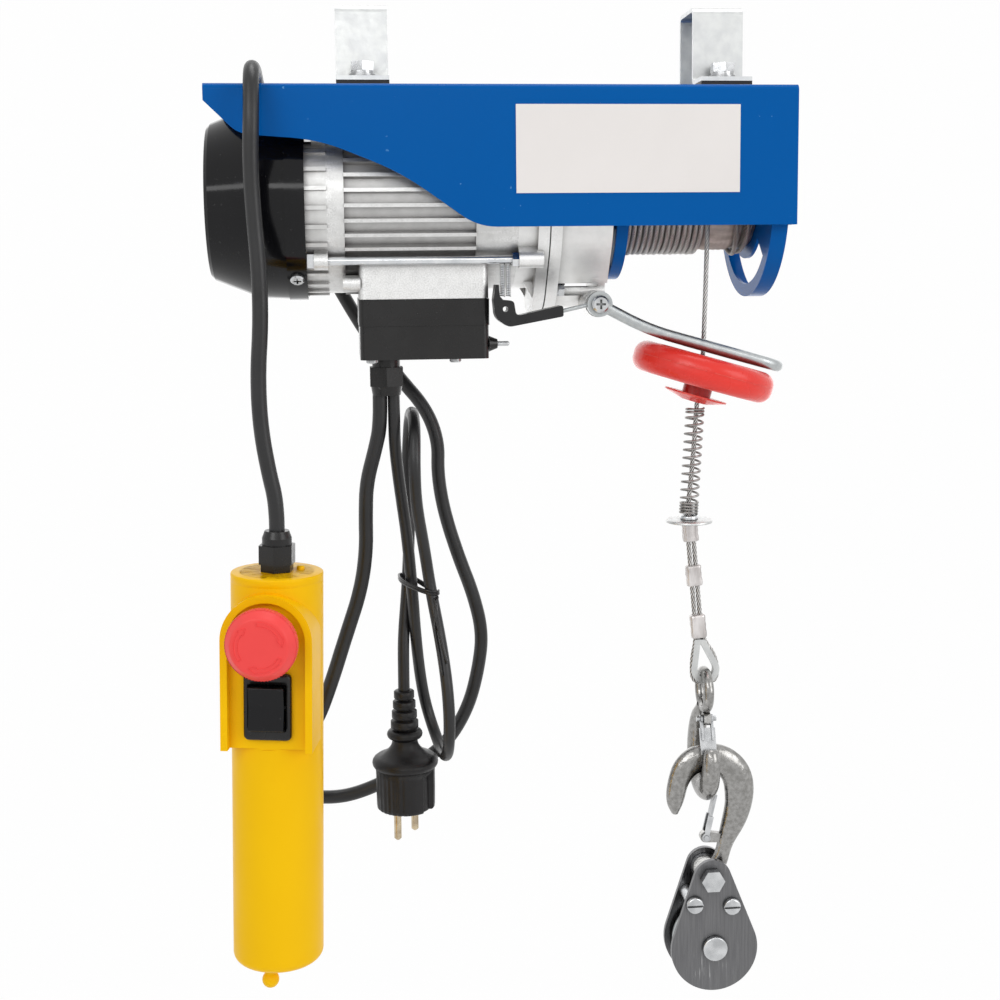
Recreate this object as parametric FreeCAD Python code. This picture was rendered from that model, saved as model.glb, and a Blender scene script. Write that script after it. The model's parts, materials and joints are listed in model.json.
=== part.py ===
"""Electric rope hoist with a hand-held pendant, hanging from a square bar by two clamps.

Millimetres. X runs along the motor and drum axis towards the drum, Y away from the front, Z up.
The origin is the middle of the bar's seat, level with the undersides of the two clamp tops.
"""
import FreeCAD, Part
import math
import os

V = FreeCAD.Vector
os.makedirs("parts", exist_ok=True)

ORIGIN = V(0, 0, 0)
ALONG = V(1, 0, 0)
BACK = V(0, 1, 0)
UP = V(0, 0, 1)
OVERRUN = 1.0

# Driving dimensions of the whole hoist
bar_width = 30.0
bar_height = 30.0
clamp_spacing = 216.8
housing_length = 342.7
housing_left = -198.2
housing_depth = 81.0
housing_half_width = 66.5
housing_sheet = 2.0
motor_axis_drop = 112.5
lay_axis_offset = 32.0
rope_diameter = 3.0

# Clearances used by every fit
running_gap = 0.05
seat_gap = 0.3
bolt_gap = 0.5


# Pieces collected from several places into one group
housing_screws = []
bearings = []
gearbox_bolts = []


# General shapes
def rod(radius, length, start, axis):
    return Part.makeCylinder(radius, length, start, axis)


def tube(outer, inner, length, start, axis):
    bore = rod(inner, length + 2 * OVERRUN, start - axis * OVERRUN, axis)
    return rod(outer, length, start, axis).cut(bore)


def block(x0, x1, y0, y1, z0, z1):
    return Part.makeBox(x1 - x0, y1 - y0, z1 - z0, V(x0, y0, z0))


def joined(solids):
    result = solids[0]
    for solid in solids[1:]:
        result = result.fuse(solid)
    return result.removeSplitter()


def drilled(solid, tools):
    for tool in tools:
        solid = solid.cut(tool)
    return solid


def group(solids):
    return Part.makeCompound(solids)


def side_axis(axis):
    return BACK if abs(axis.dot(BACK)) < abs(axis.dot(ALONG)) + abs(axis.dot(UP)) else ALONG


def turned(outline, start, axis):
    """Solid of revolution; the outline holds (distance along the axis, radius) pairs."""
    across = side_axis(axis)
    across = (across - axis * across.dot(axis)).normalize()
    corners = [start + axis * along + across * radius for along, radius in outline]
    face = Part.Face(Part.makePolygon(corners + [corners[0]]))
    return face.revolve(start, axis, 360)


def prism(corners, direction):
    return Part.Face(Part.makePolygon(corners + [corners[0]])).extrude(direction)


def hexagon(across_flats, height, start, axis):
    across = side_axis(axis)
    across = (across - axis * across.dot(axis)).normalize()
    other = axis.cross(across)
    corner_radius = across_flats / math.sqrt(3)
    corners = []
    for step in range(6):
        turn = math.pi / 3 * step
        corners.append(start + across * (corner_radius * math.cos(turn)) + other * (corner_radius * math.sin(turn)))
    return prism(corners, axis * height)


def rounded_wire(corners, radii):
    """Closed outline through corner points, each rounded by its own radius."""
    edges = []
    count = len(corners)
    ends = []
    for place in range(count):
        corner = corners[place]
        radius = radii[place]
        if radius == 0:
            ends.append((corner, corner))
            continue
        before = (corners[place - 1] - corner).normalize()
        after = (corners[(place + 1) % count] - corner).normalize()
        half = math.acos(max(-1, min(1, before.dot(after)))) / 2
        reach = radius / math.tan(half)
        middle = corner + (before + after).normalize() * (radius / math.sin(half) - radius)
        first = corner + before * reach
        last = corner + after * reach
        edges.append(Part.Arc(first, middle, last).toShape())
        ends.append((first, last))
    for place in range(count):
        first = ends[place - 1][1]
        last = ends[place][0]
        if first.distanceToPoint(last) > 1e-6:
            edges.append(Part.LineSegment(first, last).toShape())
    return Part.Wire(Part.sortEdges(edges)[0])


def rounded_prism(corners, radii, direction):
    return Part.Face(rounded_wire(corners, radii)).extrude(direction)


def bolt(size_radius, head_across, head_height, length, start, axis):
    """Hex bolt; start is the seat under the head, axis points along the shank."""
    head = hexagon(head_across, head_height, start - axis * head_height, axis)
    return joined([head, rod(size_radius, length, start, axis)])


def pan_screw(size_radius, head_radius, head_height, length, start, axis):
    """Pan-head screw with a cross slot."""
    chamfer = head_height / 3
    head = turned(
        [(0, 0), (0, head_radius), (-head_height + chamfer, head_radius), (-head_height, head_radius - chamfer), (-head_height, 0)],
        start, axis)
    across = side_axis(axis)
    across = (across - axis * across.dot(axis)).normalize()
    slot_width = head_radius / 4
    slot_length = head_radius * 1.1
    slot_depth = head_height / 2
    for first, second in ((across, axis.cross(across)), (axis.cross(across), across)):
        corner = start - axis * (head_height + OVERRUN) - first * slot_length / 2 - second * slot_width / 2
        corners = [corner, corner + first * slot_length, corner + first * slot_length + second * slot_width,
                   corner + second * slot_width]
        head = head.cut(prism(corners, axis * (slot_depth + OVERRUN)))
    return joined([head, rod(size_radius, length, start, axis)])


def bearing(outer, inner, width, start, axis):
    """Closed ball bearing as two rings and a shield, in one solid."""
    shield_step = width / 10
    ring_wall = (outer - inner) / 4
    outline = [(0, inner), (0, inner + ring_wall), (shield_step, inner + ring_wall), (shield_step, outer - ring_wall),
               (0, outer - ring_wall), (0, outer), (width, outer), (width, outer - ring_wall),
               (width - shield_step, outer - ring_wall), (width - shield_step, inner + ring_wall),
               (width, inner + ring_wall), (width, inner)]
    return turned(outline, start, axis)


# Cords and coils
def vertex_arc(first, corner, last):
    """Tangent arc from first to last, whose tangents meet at corner."""
    half_chord = first.distanceToPoint(last) / 2
    leg = first.distanceToPoint(corner)
    bend = math.acos(max(-1, min(1, half_chord / leg)))
    chord_middle = (first + last) * 0.5
    share = math.tan(bend / 2) / math.tan(bend)
    middle = chord_middle + (corner - chord_middle) * share
    return Part.Arc(first, middle, last).toShape()


cord_arc_share = 0.45


def cord_tube(name, points, diameter):
    """Round cord along straight runs joined by tangent arcs; prints its bend radii and length."""
    places = [V(*point) for point in points]
    edges = []
    radii = []
    at = places[0]
    for place in range(1, len(places) - 1):
        corner = places[place]
        before = (places[place - 1] - corner)
        after = (places[place + 1] - corner)
        reach = cord_arc_share * min(before.Length, after.Length)
        before.normalize()
        after.normalize()
        half_turn = (math.pi - math.acos(max(-1, min(1, before.dot(after))))) / 2
        radii.append(reach / math.tan(half_turn))
        first = corner + before * reach
        last = corner + after * reach
        edges.append(Part.LineSegment(at, first).toShape())
        edges.append(vertex_arc(first, corner, last))
        at = last
    edges.append(Part.LineSegment(at, places[-1]).toShape())
    path = Part.Wire(edges)
    heading = (places[1] - places[0]).normalize()
    profile = Part.Wire([Part.Circle(places[0], heading, diameter / 2).toShape()])
    solid = path.makePipeShell([profile], True, False)
    ideal = math.pi * diameter ** 2 / 4 * path.Length
    print(name, "length", round(path.Length), "mm, radii", " ".join(str(round(radius)) for radius in radii))
    print(name, "volume over section times length", round(solid.Volume / ideal, 4))
    return solid


def biarc(start, start_way, end, end_way):
    """Two tangent arcs from start to end with the given end directions."""
    gap = end - start
    both = start_way + end_way
    spread = 2 * (1 - start_way.dot(end_way))
    across = 2 * gap.dot(both)
    reach = (-across + math.sqrt(across * across + 4 * spread * gap.dot(gap))) / (2 * spread)
    corner_one = start + start_way * reach
    corner_two = end - end_way * reach
    middle = (corner_one + corner_two) * 0.5
    return [vertex_arc(start, corner_one, middle), vertex_arc(middle, corner_two, end)]


def coil(name, wire_diameter, radius, quarter_steps, start, axis, from_way, lead_in, lead_out):
    """Round wire wound about an axis, a quarter turn for each rise in quarter_steps."""
    side = (from_way - axis * from_way.dot(axis)).normalize()
    other = axis.cross(side)
    places = []
    rise = 0.0
    rises = [0.0]
    for step in quarter_steps:
        rise += step
        rises.append(rise)
    arc_length = math.pi * radius / 2
    for place, height in enumerate(rises):
        turn = math.pi / 2 * place
        spot = start + axis * height + side * (radius * math.cos(turn)) + other * (radius * math.sin(turn))
        round_way = other * math.cos(turn) - side * math.sin(turn)
        before = quarter_steps[max(0, place - 1)]
        after = quarter_steps[min(len(quarter_steps) - 1, place)]
        way = (round_way * arc_length + axis * ((before + after) / 2)).normalize()
        places.append((spot, way))
    edges = []
    first_spot, first_way = places[0]
    last_spot, last_way = places[-1]
    edges.append(Part.LineSegment(first_spot - first_way * lead_in, first_spot).toShape())
    for (spot, way), (next_spot, next_way) in zip(places, places[1:]):
        edges.extend(biarc(spot, way, next_spot, next_way))
    edges.append(Part.LineSegment(last_spot, last_spot + last_way * lead_out).toShape())
    path = Part.Wire(edges)
    profile = Part.Wire([Part.Circle(first_spot - first_way * lead_in, first_way, wire_diameter / 2).toShape()])
    solid = path.makePipeShell([profile], True, False)
    least_turn = min(sum(quarter_steps[place:place + 4]) for place in range(len(quarter_steps) - 3))
    samples = []
    for height_place in range(len(rises) - 1):
        for part in range(4):
            share = part / 4
            turn = math.pi / 2 * (height_place + share)
            height = rises[height_place] + (rises[height_place + 1] - rises[height_place]) * share
            samples.append(axis * height + side * (radius * math.cos(turn)) + other * (radius * math.sin(turn)))
    nearest = least_turn
    for place, spot in enumerate(samples):
        for far in samples[place + 12:place + 40]:
            nearest = min(nearest, spot.distanceToPoint(far))
    print(name, "turns", len(quarter_steps) / 4, "least gap to itself", round(nearest - wire_diameter, 2))
    return solid


# Involute gears
pressure_angle = math.radians(20)


def involute(angle):
    return math.tan(angle) - angle


def gear(module, teeth, shift, backlash, width, bore, start, first_turn):
    """Spur gear about X with involute flanks; shift is the profile shift in modules."""
    pitch = module * teeth / 2
    base = pitch * math.cos(pressure_angle)
    tip = pitch + module * (1 + shift)
    root = pitch - module * (1.25 - shift)
    tooth = module * (math.pi / 2 + 2 * shift * math.tan(pressure_angle)) - backlash
    half_at_pitch = tooth / (2 * pitch)

    def half_angle(radius):
        if radius <= base:
            return half_at_pitch + involute(pressure_angle)
        angle = math.acos(base / radius)
        return half_at_pitch + involute(pressure_angle) - involute(angle)

    flank_radii = [root]
    lowest = max(root, base)
    flank_steps = 4
    for step in range(flank_steps + 1):
        radius = lowest + (tip - lowest) * step / flank_steps
        if radius > flank_radii[-1] + module / 100:
            flank_radii.append(radius)
    corners = []
    for number in range(teeth):
        middle = first_turn + 2 * math.pi * number / teeth
        flank = [(radius, middle - half_angle(radius)) for radius in flank_radii]
        flank += [(radius, middle + half_angle(radius)) for radius in reversed(flank_radii)]
        for radius, turn in flank:
            corners.append(start + V(0, radius * math.cos(turn), radius * math.sin(turn)))
    blank = prism(corners, ALONG * width)
    if bore > 0:
        blank = blank.cut(rod(bore, width + 2 * OVERRUN, start - ALONG * OVERRUN, ALONG))
    return blank


def save(shape, name):
    shape.exportStep("parts/" + name + ".step")


motor_axis_z = -motor_axis_drop
lay_axis_z = motor_axis_z - lay_axis_offset
axis_at = V(0, 0, motor_axis_z)
lay_at = V(0, 0, lay_axis_z)


def on_axis(x):
    return V(x, 0, motor_axis_z)


# Strap clamps, pads and their bolts
strap_thickness = 2.5
strap_width = 31.0
strap_bend = 2.5
strap_side_gap = 0.5
foot_reach = 40.0
foot_drop = 44.0
pad_thickness = 5.0
clamp_bolt_radius = 4.0
clamp_bolt_across = 13.0
clamp_bolt_head = 5.3
clamp_bolt_row = 29.0
washer_radius = 8.0
washer_thickness = 1.6
spring_washer_radius = 7.0
spring_washer_thickness = 2.0
nut_height = 6.5
nut_end_showing = 2.0

strap_inside = bar_width / 2 + strap_side_gap
strap_outside = strap_inside + strap_thickness
housing_top = -foot_drop - pad_thickness
clamp_centres = (-clamp_spacing / 2, clamp_spacing / 2)
foot_top = -foot_drop + strap_thickness


def bolt_places(centre):
    return [V(centre, -clamp_bolt_row, 0), V(centre, clamp_bolt_row, 0)]


def clamp(centre):
    outer_bend = strap_bend + strap_thickness
    right_side = [(strap_outside, strap_thickness, outer_bend), (strap_outside, foot_top, strap_bend),
                  (foot_reach, foot_top, 0), (foot_reach, -foot_drop, 0),
                  (strap_inside, -foot_drop, outer_bend), (strap_inside, 0, strap_bend)]
    left_side = [(-y, z, radius) for y, z, radius in reversed(right_side)]
    outline = right_side + left_side
    start_x = centre - strap_width / 2
    corners = [V(start_x, y, z) for y, z, radius in outline]
    strap = rounded_prism(corners, [radius for y, z, radius in outline], ALONG * strap_width)
    depth = strap_thickness + 2 * OVERRUN
    holes = [rod(clamp_bolt_radius + bolt_gap, depth, place - UP * (foot_drop + OVERRUN), UP) for place in bolt_places(centre)]
    return drilled(strap, holes)


def pad(centre, side):
    near = min(side * strap_outside, side * foot_reach)
    far = max(side * strap_outside, side * foot_reach)
    solid = block(centre - strap_width / 2, centre + strap_width / 2, near, far, housing_top, -foot_drop)
    hole = rod(clamp_bolt_radius + bolt_gap, pad_thickness + 2 * OVERRUN,
               V(centre, side * clamp_bolt_row, housing_top - OVERRUN), UP)
    return solid.cut(hole)


def make_clamps():
    save(clamp(clamp_centres[0]), "clamp_left")
    save(clamp(clamp_centres[1]), "clamp_right")
    save(group([pad(centre, side) for centre in clamp_centres for side in (-1, 1)]), "clamp_pads")
    head_seat = foot_top + washer_thickness + spring_washer_thickness
    shank = head_seat - housing_top + housing_sheet + nut_height + nut_end_showing
    fasteners = []
    for centre in clamp_centres:
        for place in bolt_places(centre):
            fasteners.append(bolt(clamp_bolt_radius, clamp_bolt_across, clamp_bolt_head, shank, place + UP * head_seat, -UP))
            hole = clamp_bolt_radius + running_gap
            fasteners.append(tube(washer_radius, hole, washer_thickness, place + UP * foot_top, UP))
            fasteners.append(tube(spring_washer_radius, hole, spring_washer_thickness,
                                  place + UP * (foot_top + washer_thickness), UP))
            nut_top = housing_top - housing_sheet
            nut = hexagon(clamp_bolt_across, nut_height, place + UP * (nut_top - nut_height), UP)
            bore = rod(hole, nut_height + 2 * OVERRUN, place + UP * (nut_top - nut_height - OVERRUN), UP)
            fasteners.append(nut.cut(bore))
    save(group(fasteners), "clamp_fasteners")


# Housing: folded sheet open below, with an end wall at the drum
housing_bend = 1.5
notch_length = 167.0
notch_corner_shares = [(0.114, 0.348), (0.383, 0.389), (0.659, 0.617), (0.922, 1.0)]
notch_start_share = 0.12
notch_radii_shares = [0.11, 0.6, 0.9, 0.21]
plate_left = -22.0
plate_length = 131.5
plate_height = 50.3
plate_drop = 11.7
plate_thickness = 0.6

housing_right = housing_left + housing_length
housing_bottom = housing_top - housing_depth
inner_half_width = housing_half_width - housing_sheet
inner_top = housing_top - housing_sheet
end_wall_x = housing_right - housing_sheet


def housing_notch():
    """Prism that cuts the lower left of both side sheets along a falling curve."""
    near = -housing_half_width - OVERRUN
    corners = [V(housing_left - OVERRUN, near, housing_top - notch_start_share * housing_depth)]
    radii = [0]
    corners.append(V(housing_left, near, housing_top - notch_start_share * housing_depth))
    radii.append(0)
    for (x_share, z_share), radius_share in zip(notch_corner_shares, notch_radii_shares):
        corners.append(V(housing_left + x_share * notch_length, near, housing_top - z_share * housing_depth))
        radii.append(radius_share * notch_length)
    corners.append(V(housing_left + notch_length, near, housing_bottom))
    corners.append(V(housing_left + notch_length, near, housing_bottom - OVERRUN))
    corners.append(V(housing_left - OVERRUN, near, housing_bottom - OVERRUN))
    radii += [0, 0, 0]
    return rounded_prism(corners, radii, BACK * (2 * (housing_half_width + OVERRUN)))


# Fastening of motor and gearbox under the housing top
foot_screw_radius = 3.0
foot_screw_across = 10.0
foot_screw_head = 4.0
foot_screw_row = 14.0
case_foot_x = 18.0
shield_foot_x = -137.2
foot_screw_places = [(case_foot_x, -foot_screw_row), (case_foot_x, foot_screw_row),
                     (shield_foot_x, -foot_screw_row), (shield_foot_x, foot_screw_row)]
foot_screw_length = 11.0

# End bearing of the drum shaft
drum_shaft_radius = 8.0
end_bearing_outer = 14.0
end_bearing_width = 5.0
holder_wall = 3.0
holder_flange_radius = 25.0
holder_flange_thickness = 3.0
holder_screw_radius = 2.0
holder_screw_circle = 20.8
holder_screw_head_radius = 3.4
holder_screw_head = 2.2


def holder_places(x):
    places = []
    for step in range(3):
        turn = math.pi / 2 + 2 * math.pi / 3 * step
        places.append(V(x, holder_screw_circle * math.cos(turn), motor_axis_z + holder_screw_circle * math.sin(turn)))
    return places


def make_housing():
    outline = [(-housing_half_width, housing_bottom, 0), (-housing_half_width, housing_top, housing_bend + housing_sheet),
               (housing_half_width, housing_top, housing_bend + housing_sheet), (housing_half_width, housing_bottom, 0),
               (inner_half_width, housing_bottom, 0), (inner_half_width, inner_top, housing_bend),
               (-inner_half_width, inner_top, housing_bend), (-inner_half_width, housing_bottom, 0)]
    corners = [V(housing_left, y, z) for y, z, radius in outline]
    sheet = rounded_prism(corners, [radius for y, z, radius in outline], ALONG * housing_length)
    wall_top = inner_top + housing_sheet / 2
    wall_edge = inner_half_width + housing_sheet / 2
    wall = block(end_wall_x, housing_right, -wall_edge, wall_edge, housing_bottom, wall_top)
    sheet = joined([sheet, wall]).cut(housing_notch())
    holes = []
    for centre in clamp_centres:
        for place in bolt_places(centre):
            holes.append(rod(clamp_bolt_radius + bolt_gap, housing_sheet + 2 * OVERRUN, place + UP * (inner_top - OVERRUN), UP))
    for x, y in foot_screw_places:
        holes.append(rod(foot_screw_radius + bolt_gap, housing_sheet + 2 * OVERRUN, V(x, y, inner_top - OVERRUN), UP))
    for place in holder_places(end_wall_x - OVERRUN):
        holes.append(rod(holder_screw_radius + bolt_gap, housing_sheet + 2 * OVERRUN, place, ALONG))
    save(drilled(sheet, holes), "housing")
    plate_top = housing_top - plate_drop
    plate = block(plate_left, plate_left + plate_length, -housing_half_width - plate_thickness, -housing_half_width,
                  plate_top - plate_height, plate_top)
    save(plate, "data_plate")
    for x, y in foot_screw_places:
        housing_screws.append(bolt(foot_screw_radius, foot_screw_across, foot_screw_head, foot_screw_length,
                                   V(x, y, housing_top), -UP))


# Motor
fan_cover_start = -201.5
fan_cover_length = 58.0
fan_cover_radius = 60.0
fan_face_radius = 47.5
fan_cover_wall = 2.0
fan_band_length = 11.5
fan_cone_length = 28.0
fan_cone_radius = 58.2
fan_band_step = 0.8
slot_count = 14
slot_width = 3.0
slot_inner = 14.0
slot_outer = 40.0
end_shield_length = 12.5
motor_band_length = 10.0
fin_length = 77.0
motor_smooth_length = 25.2
stator_radius = 45.0
motor_wall = 7.0
fin_tip_radius = 56.5
fin_count = 40
fin_width = 2.2
band_radius = 55.6
smooth_radius = 54.0
rotor_radius = 25.6
air_gap = 0.4
core_length = 62.0
winding_length = 17.0
winding_outer = 42.0
winding_inner = 28.5
rotor_shaft_radius = 6.0
motor_bearing_outer = 16.0
motor_bearing_width = 9.0
tie_circle = 59.4
tie_radius = 2.5
tie_angle = 37.6
tie_ear_radius = 5.2
tie_nut_across = 8.0
tie_nut_height = 4.0
fan_hub_radius = 11.0
fan_blade_radius = 40.0
fan_disc_share = 0.8
fan_width = 18.0
fan_blades = 7
fan_blade_thickness = 2.0
cover_screw_angle = 50.0
cover_screw_radius = 2.0
cover_screw_head_radius = 4.2
cover_screw_head = 2.6

fan_cover_end = fan_cover_start + fan_cover_length
shield_start = fan_cover_end
shield_end = shield_start + end_shield_length
motor_start = shield_end
fins_start = motor_start + motor_band_length
fins_end = fins_start + fin_length
motor_end = fins_end + motor_smooth_length
motor_tube_radius = stator_radius + motor_wall
core_start = fins_start + (fin_length - core_length) / 2

# Gearbox
plate_rear_length = 11.3
plate_flange = 6.7
gasket_thickness = 0.8
case_length = 37.7
case_wall = 5.0
case_top_radius = 58.0
case_low_radius = 38.0
cavity_top_radius = 48.0
cavity_low_radius = 29.5
output_boss_radius = 20.0
output_boss_length = 3.5
case_bolt_radius = 2.5
case_bolt_across = 8.0
case_bolt_head = 3.6
case_bolt_circle_top = 53.0
case_bolt_circle_low = 33.8
case_bolt_angles_top = (8.0, 50.0, 90.0, 130.0, 172.0)
case_bolt_angles_low = (222.0, 270.0, 318.0)
case_bolt_washer = 1.0
case_rib_depth = 2.0
gear_module = 1.0
pinion_teeth = 10
wheel_teeth = 54
pinion_shift = 0.4
tooth_backlash = 0.16
pinion_start = 4.0
pinion_width = 10.0
wheel_width = 8.0
second_start = 15.0
second_width = 11.0
lay_shaft_radius = 5.0
small_bearing_outer = 11.0
small_bearing_width = 6.0
output_bearing_outer = 15.0
output_bearing_width = 9.0
pinion_bore = 3.5

plate_start = motor_end
flange_start = plate_start + plate_rear_length
flange_end = flange_start + plate_flange
case_start = flange_end + gasket_thickness
case_end = case_start + case_length
boss_end = case_end + output_boss_length


def tie_spots(x):
    spots = []
    turn = math.radians(tie_angle)
    for side in (-1, 1):
        for level in (-1, 1):
            y = side * tie_circle * math.cos(turn)
            z = motor_axis_z + level * tie_circle * math.sin(turn)
            spots.append(V(x, y, z))
    return spots


def ear(spot, length):
    """Cast ear that reaches from the motor's wall out to a tie bolt."""
    centre = on_axis(spot.x)
    outward = (spot - centre).normalize()
    across = ALONG.cross(outward)
    inner = centre + outward * (stator_radius + motor_wall / 2)
    corners = [inner - across * tie_ear_radius, inner + across * tie_ear_radius,
               spot + across * tie_ear_radius, spot - across * tie_ear_radius]
    return joined([prism(corners, ALONG * length), rod(tie_ear_radius, length, spot, ALONG)])


def tie_hole(spot, length):
    return rod(tie_radius + running_gap, length + 2 * OVERRUN, spot - ALONG * OVERRUN, ALONG)


def make_fan_cover():
    cone_x = fan_cone_length
    band_x = fan_cover_length - fan_band_length
    wall = fan_cover_wall
    corner = wall
    outline = [(0, 0), (0, fan_face_radius - corner), (corner, fan_face_radius), (cone_x, fan_cone_radius),
               (band_x, fan_cover_radius - fan_band_step), (band_x, fan_cover_radius), (fan_cover_length, fan_cover_radius),
               (fan_cover_length, fan_cover_radius - wall), (band_x, fan_cover_radius - wall),
               (band_x, fan_cover_radius - wall - fan_band_step),
               (cone_x, fan_cone_radius - wall), (2 * wall, fan_face_radius - wall / 2), (wall, fan_face_radius - 2 * wall),
               (wall, 0)]
    cover = turned(outline, on_axis(fan_cover_start), ALONG)
    slots = []
    for number in range(slot_count):
        slot = block(fan_cover_start - OVERRUN, fan_cover_start + wall + OVERRUN, -slot_width / 2, slot_width / 2,
                     motor_axis_z + slot_inner, motor_axis_z + slot_outer)
        slot.rotate(axis_at, ALONG, 360 / slot_count * number)
        slots.append(slot)
    screw_x = fan_cover_end - fan_band_length / 2
    for side in (-1, 1):
        for level in (-1, 1):
            turn = math.radians(cover_screw_angle)
            outward = V(0, side * math.cos(turn), level * math.sin(turn))
            seat = on_axis(screw_x) + outward * fan_cover_radius
            hole = rod(cover_screw_radius + running_gap, fan_cover_wall + 2 * OVERRUN, seat + outward * OVERRUN, -outward)
            slots.append(hole)
            housing_screws.append(pan_screw(cover_screw_radius, cover_screw_head_radius, cover_screw_head,
                                            shield_rim_reach, seat, -outward))
    save(drilled(cover, slots), "fan_cover")


shield_rim_gap = 0.3
shield_rim_length = 9.0
shield_rim_reach = 4.5
shield_rim_wall = 4.0
shield_rim_radius = fan_cover_radius - fan_cover_wall - shield_rim_gap
shield_rib_count = 32
shield_rib_height = 1.6
shield_rib_width = 2.4
shield_radius = band_radius


def make_end_shield():
    """Cast end shield with a rim inside the fan cover, short ribs outside and four ears."""
    rim = tube(shield_rim_radius, shield_rim_radius - shield_rim_wall, shield_rim_length, on_axis(shield_start - shield_rim_length), ALONG)
    body = rod(shield_radius, end_shield_length, on_axis(shield_start), ALONG)
    parts = [body, rim]
    for number in range(shield_rib_count):
        rib = block(shield_start, shield_end, -shield_rib_width / 2, shield_rib_width / 2,
                    motor_axis_z + shield_radius - shield_rib_height, motor_axis_z + shield_radius + shield_rib_height)
        rib.rotate(axis_at, ALONG, 360 / shield_rib_count * (number + 0.5))
        parts.append(rib)
    ear_length = tie_nut_height * 2
    for spot in tie_spots(shield_end - ear_length):
        parts.append(ear(spot, ear_length))
    foot_half = foot_screw_row + foot_screw_across / 2
    foot = block(shield_start, shield_end, -foot_half, foot_half, motor_axis_z + stator_radius, inner_top)
    parts.append(foot)
    shield = joined(parts)
    cavity = rod(stator_radius - motor_wall, end_shield_length, on_axis(shield_start + case_wall), ALONG)
    bearing_bore = rod(motor_bearing_outer, end_shield_length + 2 * OVERRUN, on_axis(shield_start - OVERRUN), ALONG)
    bearing_boss = tube(motor_bearing_outer + case_wall, motor_bearing_outer, end_shield_length, on_axis(shield_start), ALONG)
    shield = joined([shield.cut(cavity), bearing_boss]).cut(bearing_bore)
    holes = [tie_hole(spot, ear_length) for spot in tie_spots(shield_end - ear_length)]
    head_room = tie_nut_across / math.sqrt(3) + bolt_gap
    for spot in tie_spots(shield_end - ear_length):
        holes.append(rod(head_room, tie_nut_height + OVERRUN, spot, -ALONG))
    for x, y in foot_screw_places[2:]:
        holes.append(rod(foot_screw_radius + running_gap, foot_screw_length, V(x, y, inner_top + OVERRUN), -UP))
    for side in (-1, 1):
        for level in (-1, 1):
            turn = math.radians(cover_screw_angle)
            outward = V(0, side * math.cos(turn), level * math.sin(turn))
            seat = on_axis(fan_cover_end - fan_band_length / 2) + outward * fan_cover_radius
            holes.append(rod(cover_screw_radius + running_gap, shield_rim_reach + OVERRUN, seat, -outward))
    save(drilled(shield, holes), "motor_end_shield")


box_left = -113.3
box_length = 77.0
box_half_depth = 43.0
box_top = -144.0
box_split = -171.5
box_saddle_gap = 0.3


def make_motor_body():
    body = tube(motor_tube_radius, stator_radius, motor_end - motor_start, on_axis(motor_start), ALONG)
    band = tube(band_radius, stator_radius + motor_wall / 2, motor_band_length, on_axis(motor_start), ALONG)
    smooth = tube(smooth_radius, stator_radius + motor_wall / 2, motor_smooth_length, on_axis(fins_end), ALONG)
    parts = [body, band, smooth]
    root = motor_axis_z + motor_tube_radius - motor_wall / 2
    for number in range(fin_count):
        fin = block(fins_start, fins_end, -fin_width / 2, fin_width / 2, root, motor_axis_z + fin_tip_radius)
        fin.rotate(axis_at, ALONG, 360 / fin_count * (number + 0.5))
        parts.append(fin)
    save(joined(parts), "motor_body")
    core = tube(stator_radius - running_gap, rotor_radius + air_gap, core_length, on_axis(core_start), ALONG)
    save(core, "stator_core")
    windings = []
    bend = (winding_outer - winding_inner) / 4
    for start, way in ((core_start, -1), (core_start + core_length, 1)):
        outline = [(0, winding_inner), (0, winding_outer), (winding_length - bend, winding_outer),
                   (winding_length, winding_outer - bend), (winding_length, winding_inner + bend),
                   (winding_length - bend, winding_inner)]
        windings.append(turned(outline, on_axis(start), ALONG * way))
    save(group(windings), "stator_windings")


def make_rotor():
    bore = rotor_shaft_radius
    core = tube(rotor_radius, bore, core_length, on_axis(core_start), ALONG)
    save(core, "rotor_core")
    shaft_start = fan_cover_start + fan_cover_wall + fan_blade_thickness * 2
    shaft_end = pinion_start + pinion_width
    shaft = rod(rotor_shaft_radius, pinion_start - shaft_start - OVERRUN, on_axis(shaft_start), ALONG)
    neck = rod(pinion_bore, shaft_end - pinion_start + OVERRUN, on_axis(pinion_start - OVERRUN), ALONG)
    pinion = gear(gear_module, pinion_teeth, pinion_shift, tooth_backlash, pinion_width, pinion_bore,
                  on_axis(pinion_start), -math.pi / 2)
    save(joined([shaft, neck, pinion]), "rotor_shaft")
    fan_start = shaft_start + fan_blade_thickness
    hub = tube(fan_hub_radius, rotor_shaft_radius, fan_width, on_axis(fan_start), ALONG)
    disc = tube(fan_blade_radius * fan_disc_share, rotor_shaft_radius, fan_blade_thickness, on_axis(fan_start + fan_width - fan_blade_thickness), ALONG)
    parts = [hub, disc]
    for number in range(fan_blades):
        blade = block(fan_start, fan_start + fan_width, -fan_blade_thickness / 2, fan_blade_thickness / 2,
                      motor_axis_z + fan_hub_radius - fan_blade_thickness, motor_axis_z + fan_blade_radius)
        blade.rotate(axis_at, ALONG, 360 / fan_blades * number)
        parts.append(blade)
    save(joined(parts), "cooling_fan")
    drive_bearing_start = plate_start + plate_rear_length - motor_bearing_width
    for start in (shield_start + (end_shield_length - motor_bearing_width) / 2, drive_bearing_start):
        bearings.append(bearing(motor_bearing_outer - running_gap, rotor_shaft_radius + running_gap, motor_bearing_width,
                                on_axis(start), ALONG))


tie_end_gap = 3.0


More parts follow.
